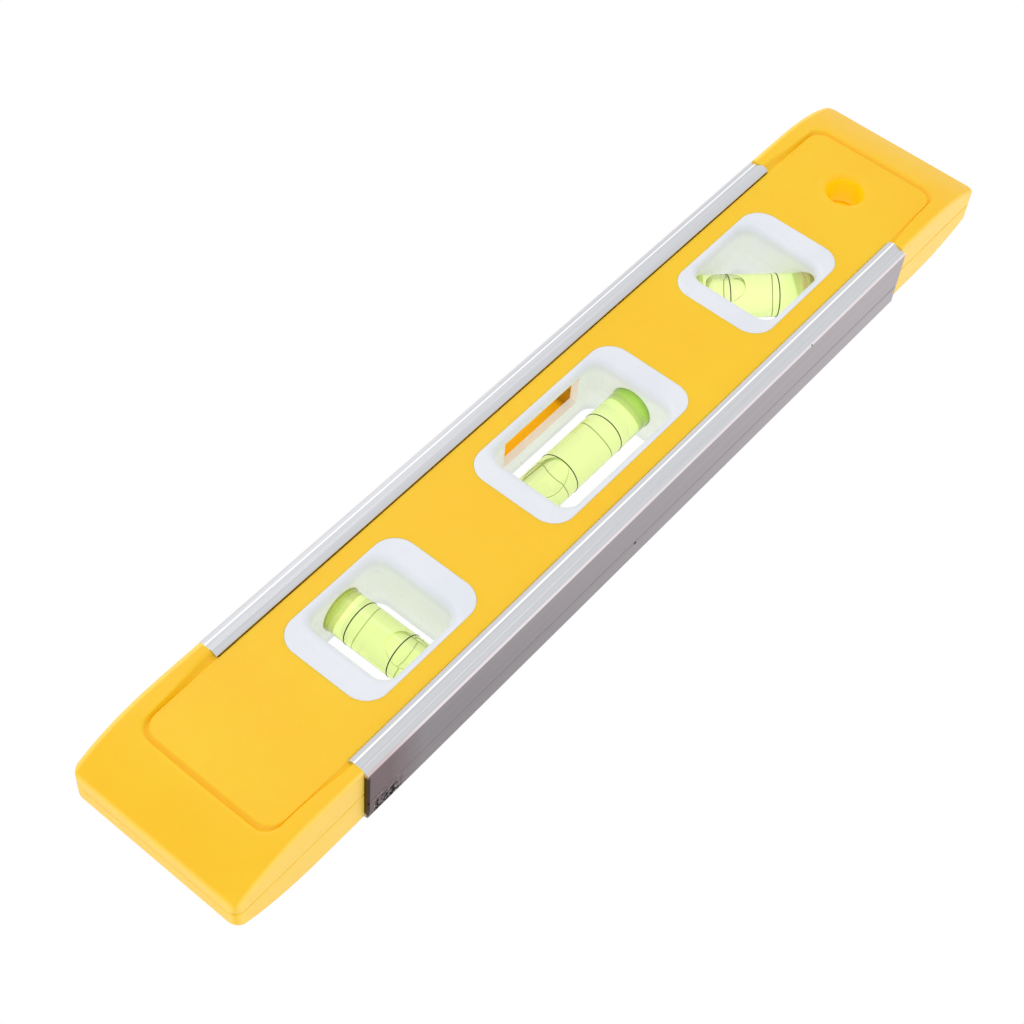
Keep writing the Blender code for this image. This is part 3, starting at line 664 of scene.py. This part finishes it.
def vial_beds(foot, spec):
    """The half round beds in a shell half past a window, for the ends of its vial.
    Each point of the pocket's lower edge in the cut is carried along the vial's axis, at its height, to a flat end.
    Returns the pocket's lower edge as it goes round the beds, and the patches of the beds."""
    a = np.radians(spec["turn"])
    axis = np.array([np.cos(a), np.sin(a)])
    end = spec["length"] / 2 + BED_SPARE
    p = foot[:, :2] - [spec["x"], 0]
    t = p @ axis
    high = np.maximum(notch(foot[:, 0], foot[:, 1], spec), SEAM)
    inside_cut = (high > SEAM + 1e-9) & (np.abs(t) < end)
    edge, patches = [], []
    n = len(foot)
    start = int(np.flatnonzero(~inside_cut & ~np.roll(inside_cut, -1))[0])
    order = (start + np.arange(n)) % n
    marks = inside_cut[order]
    i = 0
    while i < n:
        edge.append([*foot[order[i], :2], SEAM])
        if i + 1 < n and marks[i + 1]:
            j = i + 1
            while marks[j % n]:
                j += 1
            run = order[np.arange(i, j + 1) % n]
            near = np.c_[foot[run, :2], high[run]]
            near[[0, -1], 2] = SEAM
            far = near.copy()
            far[:, :2] += ((np.sign(t[run[1]]) * end) - t[run])[:, None] * axis
            patches.append(grid(np.array([near, far])))
            patches.append(single_face(far))
            edge += [far[0], far[-1]]
            i = j
        else:
            i += 1
    return np.array(edge), patches, inside_cut


def end_rows(drop):
    """One end of a shell half, row by row outwards: the soft step up from the sunk panel with its groove, the crowned
    top, the rounded edge from the top's slope to upright, the side, and the turn in to the seam."""
    panel, edge = end_paths()
    d = edge - panel
    d = d / np.linalg.norm(d, axis=1, keepdims=True)
    g = np.gradient(edge, axis=0)
    out = np.stack([g[:, 1], -g[:, 0]], -1)  # outward normal of the outer edge
    out /= np.linalg.norm(out, axis=1, keepdims=True)
    inner = edge - out * EDGE_R
    rows = []
    step_end = panel + d * STEP_WIDTH
    z_step = crown(step_end[:, 0], drop)
    for s in np.linspace(0, 1, 13):
        ease = s * s * (3 - 2 * s)
        groove = GROOVE * np.sin(np.pi * min(s * 1.3, 1.0)) ** 2
        rows.append(np.c_[panel + d * STEP_WIDTH * s, PANEL_Z + (z_step - PANEL_Z) * ease - groove])
    for s in np.linspace(0, 1, 9)[1:]:
        p = step_end + (inner - step_end) * s
        rows.append(np.c_[p, crown(p[:, 0], drop)])
    z0 = crown(inner[:, 0], drop)
    slope = (crown(inner[:, 0] + 0.05, drop) - crown(inner[:, 0] - 0.05, drop)) / 0.1 * out[:, 0]
    th0 = np.arctan(-slope)
    for s in np.linspace(0, 1, 10)[1:]:
        th = th0 + (np.pi / 2 - th0) * s
        run = (np.sin(th) - np.sin(th0)) / (1 - np.sin(th0)) * EDGE_R
        fall = (np.cos(th0) - np.cos(th)) / (1 - np.sin(th0)) * EDGE_R
        rows.append(np.c_[inner + out * run[:, None], z0 - fall])
    zs = rows[-1][:, 2]
    for s in (0.5, 1.0):
        rows.append(np.c_[edge, zs + (SEAM_EASE_Z - zs) * s])
    rows.append(np.c_[edge - out * 0.07, np.full(len(edge), 0.25)])
    rows.append(np.c_[edge - out * 0.2, np.full(len(edge), SEAM)])
    return np.array(rows)


def mid_rows(x, y_sign, count):
    """The body between its ends, under a rail, with as many rows as the ends have. Also the slot's row."""
    key = np.array(
        [
            [PANEL_Y, PANEL_Z], [PANEL_Y + 0.1, PANEL_Z - 0.05], [PANEL_Y + 0.15, PANEL_Z - 0.2],
            [PANEL_Y + 0.15, 6.55], [PANEL_Y + 0.3, 6.4], [BODY_Y - 0.2, 6.4], [BODY_Y, 6.2],
            [BODY_Y, BODY_SLOT_Z], [BODY_Y, SEAM_EASE_Z], [BODY_Y - 0.2, SEAM],
        ]
    )
    at = np.round(np.linspace(0, count - 1, len(key))).astype(int)
    i = np.arange(count)
    y, z = np.interp(i, at, key[:, 0]), np.interp(i, at, key[:, 1])
    p = np.zeros((count, len(x), 3))
    p[..., 0], p[..., 1], p[..., 2] = x[None], y[:, None] * y_sign, z[:, None]
    return p, at[7]


def window_pocket(window):
    """A window's pocket in a shell half: a rounded wall, cut by the slot or by the beds of the vial's ends.
    Returns its patches, its rim and its foot."""
    spec = WINDOWS[window]
    ix, iy = spec["frame"] - FRAME_R, FRAME_Y - FRAME_R
    xs, ys, per_corner, low_row = np.array([-ix, -SLOT_X, SLOT_X, ix]), np.array([-iy, iy]), 17, BODY_SLOT_Z
    if window != "level":
        xs, ys, per_corner, low_row = np.linspace(-ix, ix, 25), np.linspace(-iy, iy, 15), 45, BED_TOP
    if window == "plumb":
        xs = np.r_[-ix, np.cos(np.linspace(np.pi, 0, 25)) * NOTCH_R, ix]
    g = FRAME_GAP
    loop = rounded_loop(spec["x"], spec["frame"] + g, FRAME_Y + g, FRAME_R + g, xs, ys, per_corner)
    a = np.linspace(0, np.pi / 2, 5)
    offsets = np.r_[RIM * (1 - np.sin(a)), 0, 0]
    heights = np.r_[PANEL_Z - RIM * (1 - np.cos(a)), low_row, SEAM]
    wall = raise_loops(loop, outward(loop), offsets, heights)
    if window == "level":
        keep = np.ones((len(offsets) - 1, len(loop)), bool)
        on_slot = np.abs(loop[:, 0]) <= SLOT_X + 1e-6
        keep[-1, on_slot & np.roll(on_slot, -1) & (loop[:, 1] > 0)] = False
        return [grid(wall, close_cols=True, keep=keep)], wall[0][:, :2], wall[-1][:, :2]
    # the vial is longer than the window, so its ends lie in half round beds
    foot, beds, in_bed = vial_beds(wall[-1], spec)
    wall[-1, in_bed, 2] = np.maximum(SEAM, notch(loop[in_bed, 0], loop[in_bed, 1], spec))
    return [grid(wall, close_cols=True)] + beds, wall[0][:, :2], foot[:, :2]


def hang_hole():
    """The hang hole through a shell half, with a round edge at the panel. Returns its patch, its rim and its foot."""
    t = np.linspace(0, 2 * np.pi, 97)[:-1]
    out = np.stack([np.cos(t), np.sin(t)], -1)
    a = np.linspace(0, np.pi / 2, 9)
    offsets = np.r_[HANG_ROUND * (1 - np.sin(a)), 0, 0, 0.15]
    heights = np.r_[PANEL_Z - HANG_ROUND * (1 - np.cos(a)), 3.0, 0.4, SEAM]
    bore = raise_loops([HANG_X, 0] + HANG_R * out, out, offsets, heights)
    return [grid(bore, close_cols=True)], bore[0][:, :2], bore[-1][:, :2]


def in_body_slot(p):
    """Whether points of the seam face lie in the slot over the level vial."""
    return (np.abs(p[:, 0]) < SLOT_X) & (p[:, 1] > FRAME_Y + FRAME_GAP - 0.05)


def half_shell(name, side):
    """One moulded half: a flat panel with pockets, a profile carried round its outline, and the flat seam face."""
    right = end_rows(CURVE_DROP if side > 0 else BACK_DROP)
    left = right[:, ::-1] * [-1, 1, 1]
    mid_x = np.array([-RAIL_X + 0.3, -SLOT_X, SLOT_X, RAIL_X - 0.3])
    low, slot_row = mid_rows(mid_x, -1, len(right))
    high, _ = mid_rows(mid_x[::-1], 1, len(right))
    # anticlockwise: lower side, +X end, upper side, -X end
    ring = np.concatenate([low, right, high, left], 1)
    slot_col = low.shape[1] + right.shape[1] + 1  # between x = SLOT_X and x = -SLOT_X on the upper side
    keep = np.ones((len(ring) - 1, ring.shape[1]), bool)
    keep[slot_row:, slot_col] = False
    parts, rims, feet = [grid(ring, close_cols=True, keep=keep)], [], []
    for patches, rim, foot in [window_pocket(w) for w in WINDOWS] + [hang_hole()]:
        parts += patches
        rims.append(rim)
        feet.append(foot)
    parts.append(filled(ring[0][:, :2], rims, PANEL_Z))
    parts.append(filled(ring[-1][:, :2], feet, SEAM, cut=in_body_slot))
    # the slot's ceiling, and its jambs, which share the corners of the ring
    y0, y1 = FRAME_Y + FRAME_GAP, BODY_Y
    ceiling = np.array([[[-SLOT_X, y0], [-SLOT_X, y1]], [[SLOT_X, y0], [SLOT_X, y1]]])
    parts.append(grid(np.concatenate([ceiling, np.full((2, 2, 1), BODY_SLOT_Z)], -1)))
    for x, col in ((SLOT_X, slot_col), (-SLOT_X, slot_col + 1)):
        parts.append(single_face(np.concatenate([ring[slot_row:, col], [[x, y0, SEAM], [x, y0, BODY_SLOT_Z]]])))
    return new_piece(name + "_skin", flip(parts, side), [YELLOW], "level_body", [name], sharp=38)


half_shell("front_shell", 1)
half_shell("back_shell", -1)


# ---------------------------------------------------------------- white window frames


def half_frame(window, face, side, slot_z):
    """One white half frame: a closed profile carried round its opening, its lower edge lifted over vial and slot."""
    spec = WINDOWS[window]
    c = np.cos(np.linspace(np.pi, 0, 25)) * NOTCH_R
    ix, iy = spec["opening"] - OPEN_R, OPEN_Y - OPEN_R
    if spec["turn"] == 0:
        xs = np.array([-ix, -SLOT_X - 0.01, -SLOT_X, 0, SLOT_X, SLOT_X + 0.01, ix])
        ys = np.r_[-iy, c, iy]
        n = 17
    elif spec["turn"] == 90:
        xs, ys, n = np.r_[-ix, c, ix], np.array([-iy, 0, iy]), 17
    else:
        xs, ys, n = np.linspace(-ix, ix, 9), np.linspace(-iy, iy, 9), 45
    inner = rounded_loop(spec["x"], spec["opening"], OPEN_Y, OPEN_R, xs, ys, n)
    outer = rounded_loop(spec["x"], spec["frame"], FRAME_Y, FRAME_R, xs, ys, n)
    d = outer - inner
    width = np.linalg.norm(d, axis=1)
    d = d / width[:, None]
    slotted = (np.abs(inner[:, 0]) <= SLOT_X + 1e-6) & (inner[:, 1] > 0) & (window == "level")

    def foot(p):
        return np.where(slotted, slot_z, notch(p[:, 0], p[:, 1], spec))

    soft, rise = (1.9, 1.65) if side > 0 else (0.7, 0.7)  # the back edge is turned much tighter
    rim = np.minimum(width - 0.12, soft)
    zi = foot(inner)
    rows = []
    for s in np.linspace(0, 1, 7)[:-1]:
        rows.append(np.c_[inner, zi + (PANEL_Z - rise - zi) * s])
    for t in np.linspace(0, np.pi / 2, 11):
        p = inner + d * (rim * (1 - np.cos(t)))[:, None]
        rows.append(np.c_[p, np.full(len(p), PANEL_Z - rise + rise * np.sin(t))])
    for s in (0.5, 1.0):
        p = inner + d * (rim + (width - 0.1 - rim) * s)[:, None]
        rows.append(np.c_[p, np.full(len(p), PANEL_Z)])
    p = outer - d * 0.03
    rows.append(np.c_[p, np.full(len(p), PANEL_Z - 0.03)])
    rows.append(np.c_[outer, np.full(len(p), PANEL_Z - 0.07)])
    rows.append(np.c_[outer, foot(outer)])
    for s in (0.66, 0.33):
        p = inner + d * (width * s)[:, None]
        rows.append(np.c_[p, foot(p)])
    parts = [grid(np.array(rows), close_rows=True, close_cols=True)]
    node = f"{window}_frame_{face}"
    return new_piece(node + "_moulding", flip(parts, side), [WHITE], "level_body", [node], sharp=38)


for w in WINDOWS:
    half_frame(w, "front", 1, 5.6)
    half_frame(w, "back", -1, 2.0)


# ---------------------------------------------------------------- rails


def eased_section(corners, n=5):
    """Closed section with each corner turned by a short arc. Corners are (across, up, radius)."""
    c = np.array(corners, float)
    p, r = c[:, :2], c[:, 2]
    before = np.roll(p, 1, 0) - p
    after = np.roll(p, -1, 0) - p
    lb, la = np.linalg.norm(before, axis=1), np.linalg.norm(after, axis=1)
    ub, ua = before / lb[:, None], after / la[:, None]
    half = np.arccos(np.clip((ub * ua).sum(1), -1, 1)) / 2
    cut = np.minimum(r / np.tan(half), 0.45 * np.minimum(lb, la))
    s = np.linspace(0, 1, n)[None, :, None]
    start, end = (p + ub * cut[:, None])[:, None], (p + ua * cut[:, None])[:, None]
    line = ((1 - s) ** 2 * start + 2 * s * (1 - s) * p[:, None] + s**2 * end).reshape(-1, 2)
    return line[np.hypot(*(line - np.roll(line, 1, 0)).T) > 0.004]


def rail(name, sign, slotted):
    """One rail: its section carried along X, with the slot cut through the web and flat ends."""
    k = RAIL_SLOT_Z
    # (across, up, corner radius): up the outer face with its shallow groove, over the flange's fine groove and bead
    # to the lip, then down the web's inner face, and the same again below
    corners = [
        (WEB_OUT, -k, 0), (WEB_OUT, -2.62, 0.08), (20.02, -2.3, 0.05), (WEB_OUT, -1.98, 0.08), (WEB_OUT, k, 0),
        (WEB_OUT, 7.1, 0.1), (19.9, 7.42, 0.1), (18.66, 7.785, 0.03), (18.58, 7.76, 0.02), (18.5, 7.83, 0.03),
        (17.15, 8.22, 0.1), (16.9, 8.3, 0.14), (16.6, 8.2, 0.1), (15.75, 7.82, 0.08), (15.6, 7.65, 0.1),
        (15.6, 6.95, 0.12), (16.9, 7.2, 0.1), (WEB_IN, 6.5, 0.2), (WEB_IN, k, 0),
        (WEB_IN, -k, 0), (WEB_IN, -6.5, 0.2), (16.9, -7.2, 0.1), (15.6, -6.95, 0.12),
        (15.6, -7.65, 0.1), (15.75, -7.82, 0.08), (16.6, -8.2, 0.1), (16.9, -8.3, 0.14), (17.15, -8.22, 0.1),
        (18.5, -7.83, 0.03), (18.58, -7.76, 0.02), (18.66, -7.785, 0.03), (19.9, -7.42, 0.1), (WEB_OUT, -7.1, 0.1),
    ]
    sec = eased_section(corners)
    xs = np.array([-RAIL_X, -60, -36, -SLOT_X, SLOT_X, 36, 60, RAIL_X])
    slot_bay = 3  # between -SLOT_X and SLOT_X
    pts = np.zeros((len(xs), len(sec), 3))
    pts[..., 0], pts[..., 1], pts[..., 2] = xs[:, None], sec[:, 0] * sign, sec[:, 1]
    keep = np.ones((len(xs) - 1, len(sec)), bool)
    web = np.abs(sec[:, 1]) <= k + 1e-6
    if slotted:
        keep[slot_bay, web & np.roll(web, -1)] = False
    parts = [grid(pts, close_cols=True, keep=keep)]
    if slotted:
        face = sec[web & (sec[:, 0] > (WEB_IN + WEB_OUT) / 2)]
        y_in, y_out = WEB_IN * sign, WEB_OUT * sign
        for s in (-1, 1):
            z, x = s * k, s * SLOT_X
            lip = [[[-SLOT_X, y_in, z], [-SLOT_X, y_out, z]], [[SLOT_X, y_in, z], [SLOT_X, y_out, z]]]
            parts.append(grid(np.array(lip)))
            outer = np.c_[np.full(len(face), x), face * [sign, 1]]
            parts.append(single_face(np.concatenate([outer, [[x, y_in, k], [x, y_in, -k]]])))
    parts += [single_face(pts[0]), single_face(pts[-1])]
    moved = [(p.reshape(-1, 3) + [0, 0, MID], faces, mark) for p, faces, mark in parts]
    mat = METAL if slotted else MARKED_METAL
    return new_piece(name + "_extrusion", moved, [mat], "level_body", [name], sharp=50)


rail("top_rail", 1, True)
rail("bottom_rail", -1, False)


# ---------------------------------------------------------------- vials


def turned(profile, spec, around=128):
    """Profile of (along, radius) turned about a vial's axis; a radius of zero closes to a point."""
    t = np.linspace(0, 2 * np.pi, around + 1)[:-1]
    profile = np.array(profile, float)
    a = np.radians(spec["turn"])
    along, r = profile[:, :1], profile[:, 1:]
    s, z = r * np.cos(t)[None], r * np.sin(t)[None]
    x = spec["x"] + along * np.cos(a) - s * np.sin(a)
    y = along * np.sin(a) + s * np.cos(a)
    return np.stack([x, y, z + MID], -1)


def vial(window):
    """A vial: its tube, stopper, spirit and two gauge rings, and the bubble, which has a body of its own."""
    spec = WINDOWS[window]
    half = spec["length"] / 2
    mouth = half - 1.0  # the tube's open end, where the stopper's step sits
    shank = mouth - 1.6  # the stopper's inner end
    bore_end = -half + 1.0
    ease, bore_ease = 0.25, 0.6
    a = np.linspace(0, np.pi / 2, 6)[1:]

    # tube: round the closed end, along the outside, into the mouth and back along the bore
    tube = [(-half, 0.0), (-half, VIAL_R - ease)]
    tube += [(-half + ease * (1 - np.cos(q)), VIAL_R - ease + ease * np.sin(q)) for q in a]
    tube += [(x, VIAL_R) for x in np.linspace(-half + 2, mouth - 1, 12)]
    tube += [(mouth - 0.15, VIAL_R), (mouth, VIAL_R - 0.15), (mouth, BORE_R + 0.05)]
    outer_rows = len(tube)
    bore_x = np.linspace(mouth - 0.05, bore_end + bore_ease, 24)
    tube += [(x, BORE_R + BARREL * (1 - (x / half) ** 2)) for x in bore_x]
    tube += [(bore_end + bore_ease * (1 - np.sin(q)), BORE_R - bore_ease * (1 - np.cos(q))) for q in a]
    tube += [(bore_end, 0.0)]
    pts = turned(tube, spec)
    faces = grid_faces(*pts.shape[:2], close_cols=True).reshape(len(pts) - 1, -1, 4)
    flat = pts.reshape(-1, 3)
    skins = [
        (flat, faces[: outer_rows - 1].reshape(-1, 4), 0),
        (flat, faces[outer_rows - 1 :].reshape(-1, 4), 1),
    ]
    new_piece(
        f"{window}_vial_tube_clear", skins, [ACRYLIC[window], BORE], "level_body",
        [f"{window}_vial_tube"], weighted=False, sharp=45,
    )

    # stopper: a head that fills the mouth and a stepped shank in the bore
    stopper = [
        (half, 0.0), (half, VIAL_R - 0.5), (half - 0.15, VIAL_R - 0.25), (mouth + 0.1, VIAL_R - 0.2),
        (mouth + 0.02, VIAL_R - 0.3), (mouth + 0.02, BORE_R - 0.06), (shank + 0.2, BORE_R - 0.06),
        (shank, BORE_R - 0.3), (shank, 0.0),
    ]
    new_piece(
        f"{window}_vial_stopper", [grid(turned(stopper, spec, 96), close_cols=True)], [STOPPERS[window]],
        "level_body", [f"{window}_vial_plug"], weighted=False, sharp=40,
    )

    # spirit: fills the bore from the closed end to the stopper, with a hair of clearance
    c = 0.03
    x1 = shank - 0.02
    spirit = [(x1, 0.0), (x1, BORE_R - 0.1)]
    spirit_x = np.linspace(x1 - 0.02, bore_end + bore_ease + 0.02, 24)
    spirit += [(x, BORE_R - c + BARREL * (1 - (x / half) ** 2)) for x in spirit_x]
    spirit += [(bore_end + c + bore_ease * (1 - np.sin(q)), BORE_R - c - bore_ease * (1 - np.cos(q))) for q in a]
    spirit += [(bore_end + c, 0.0)]
    new_piece(
        f"{window}_spirit", [grid(turned(spirit, spec, 96), close_cols=True)], [SPIRIT[window]], "level_body",
        [f"{window}_liquid"], weighted=False, sharp=60,
    )

    # gauge rings: flat bands round the tube
    for i, sign in ((1, -1), (2, 1)):
        at = sign * spec["rings"] + spec["shift"]
        w, r0, r1 = RING_HALF, VIAL_R + 0.004, VIAL_R + 0.07
        band = [(at - w, r0), (at - w, r1 - 0.02), (at - w + 0.03, r1)]
        band += [(at + w - 0.03, r1), (at + w, r1 - 0.02), (at + w, r0)]
        new_piece(
            f"{window}_gauge_band_{i}", [grid(turned(band, spec), close_rows=True, close_cols=True)], [LINE],
            "level_body", [f"{window}_gauge_ring_{i}"], weighted=False, sharp=60,
        )

    # bubble: flat below, following the bore above, drawn in to rounded ends
    th = np.linspace(0, np.pi, 72)
    ang = np.linspace(0, 2 * np.pi, 65)[:-1]
    along = -np.cos(th) * spec["bubble"] / 2
    size = (np.sin(th) ** 0.82)[:, None]
    y = BUBBLE_HALF_WIDTH * size * np.sign(np.cos(ang)) * np.abs(np.cos(ang)) ** 0.85
    top = np.sqrt(np.clip((BORE_R - 0.12) ** 2 - y**2, 0, None))
    lift = np.sign(np.sin(ang)) * np.abs(np.sin(ang)) ** 0.75
    side_z = np.minimum(2.55, top - 0.35)
    z = side_z + np.where(lift > 0, top - side_z, side_z - BUBBLE_FLOOR) * lift
    z = BUBBLE_TIP + (z - BUBBLE_TIP) * np.minimum(1.0, size**0.9)
    t = np.radians(spec["turn"])
    along = along[:, None] + spec["at"]
    x = spec["x"] + along * np.cos(t) - y * np.sin(t)
    pts = np.stack([x, along * np.sin(t) + y * np.cos(t), z + MID], -1)
    new_piece(
        f"{window}_air_bubble", [grid(pts, close_cols=True)], [AIR], f"{window}_vial_bubble",
        [f"{window}_bubble"], weighted=False, sharp=80,
    )


for w in WINDOWS:
    vial(w)


# ---------------------------------------------------------------- floor, light and camera


FLOOR_BOUNCE = 1.1  # how bright the floor is as a light on the piece
FLOOR_GLEAM = (0.42, 0.80)  # and as seen mirrored in it, from the left end to the right
FLOOR_HALF, FLOOR_Z = 14.0, -0.0002  # metres


def stage_floor():
    """White sweep: a flat floor that glows plain white to the camera, and by its own measure to other rays."""
    k = Nodes("white paper floor")
    k.m.cycles.emission_sampling = "AUTO"
    glow = k.t.nodes.new("ShaderNodeEmission")
    glow.inputs["Color"].default_value = (1, 1, 1, 1)
    path = k.t.nodes.new("ShaderNodeLightPath")
    dim = k.times(path.outputs["Is Diffuse Ray"], 1.0 - FLOOR_BOUNCE)
    gleam = k.range(k.axes()[0], -0.085, 0.085, 1.0 - FLOOR_GLEAM[0], 1.0 - FLOOR_GLEAM[1])
    dim = k.math("ADD", dim, k.times(path.outputs["Is Glossy Ray"], gleam))
    k.link(k.math("SUBTRACT", 1.0, dim), glow.inputs["Strength"])
    k.link(glow.outputs[0], k.out.inputs[0])
    mesh = bpy.data.meshes.new("paper_floor")
    corners = [(x * FLOOR_HALF, y * FLOOR_HALF, FLOOR_Z) for x, y in ((-1, -1), (1, -1), (1, 1), (-1, 1))]
    mesh.from_pydata(corners, [], [(0, 1, 2, 3)])
    mesh.materials.append(k.m)
    obj = bpy.data.objects.new("paper_floor", mesh)
    bpy.context.scene.collection.objects.link(obj)


stage_floor()

world = bpy.data.worlds.new("studio")
bpy.context.scene.world = world
world.use_nodes = True
world.node_tree.nodes["Background"].inputs[0].default_value = (1.0, 1.0, 1.0, 1)
world.node_tree.nodes["Background"].inputs[1].default_value = 0.89


def softbox(name, place, target, size, power):
    """Square area lamp at a place, turned to face a target."""
    light = bpy.data.lights.new(name, "AREA")
    light.shape = "RECTANGLE"
    light.size, light.size_y = size
    light.energy = power
    obj = bpy.data.objects.new(name, light)
    bpy.context.scene.collection.objects.link(obj)
    obj.location = place
    obj.rotation_euler = (Vector(target) - Vector(place)).to_track_quat("-Z", "Y").to_euler()
    return obj


softbox("key softbox", (0.15, 0.55, 0.75), (0, 0, 0), (0.7, 0.5), 1.1)
softbox("fill softbox", (-0.7, -0.1, 0.5), (0, 0, 0), (0.5, 0.5), 0.3)

# camera: from the lower left and well above, turned a little about its own axis
AZIMUTH, ELEVATION, ROLL = np.radians([-54.807, 53.002, 5.770])
IMAGE_SIDE, SENSOR = 1024, 36
FOCAL = 2019.0  # in the units of IMAGE_SIDE
REACH = 395.536  # mm from the camera to the aim
AIM_RIGHT, AIM_UP = -13.2358, -11.1644  # mm of the aim from the middle of the piece, in the image's directions

back = np.array([np.sin(AZIMUTH) * np.cos(ELEVATION), -np.cos(AZIMUTH) * np.cos(ELEVATION), np.sin(ELEVATION)])
side = np.cross((0, 0, 1), back)
side /= np.linalg.norm(side)
rise = np.cross(back, side)
right = np.cos(ROLL) * side + np.sin(ROLL) * rise
up = -np.sin(ROLL) * side + np.cos(ROLL) * rise
place = back * REACH + right * AIM_RIGHT + up * AIM_UP + np.array([0, 0, MID])
camera = bpy.data.cameras.new("camera")
camera.sensor_width = SENSOR
camera.lens = FOCAL / IMAGE_SIDE * SENSOR
camera.clip_start = 0.01
cam = bpy.data.objects.new("camera", camera)
bpy.context.scene.collection.objects.link(cam)
m = np.eye(4)
m[:3, 0], m[:3, 1], m[:3, 2], m[:3, 3] = right, up, back, place * MM
cam.matrix_world = Matrix(m.tolist())
bpy.context.scene.camera = cam
bpy.context.scene.view_settings.view_transform = "Standard"
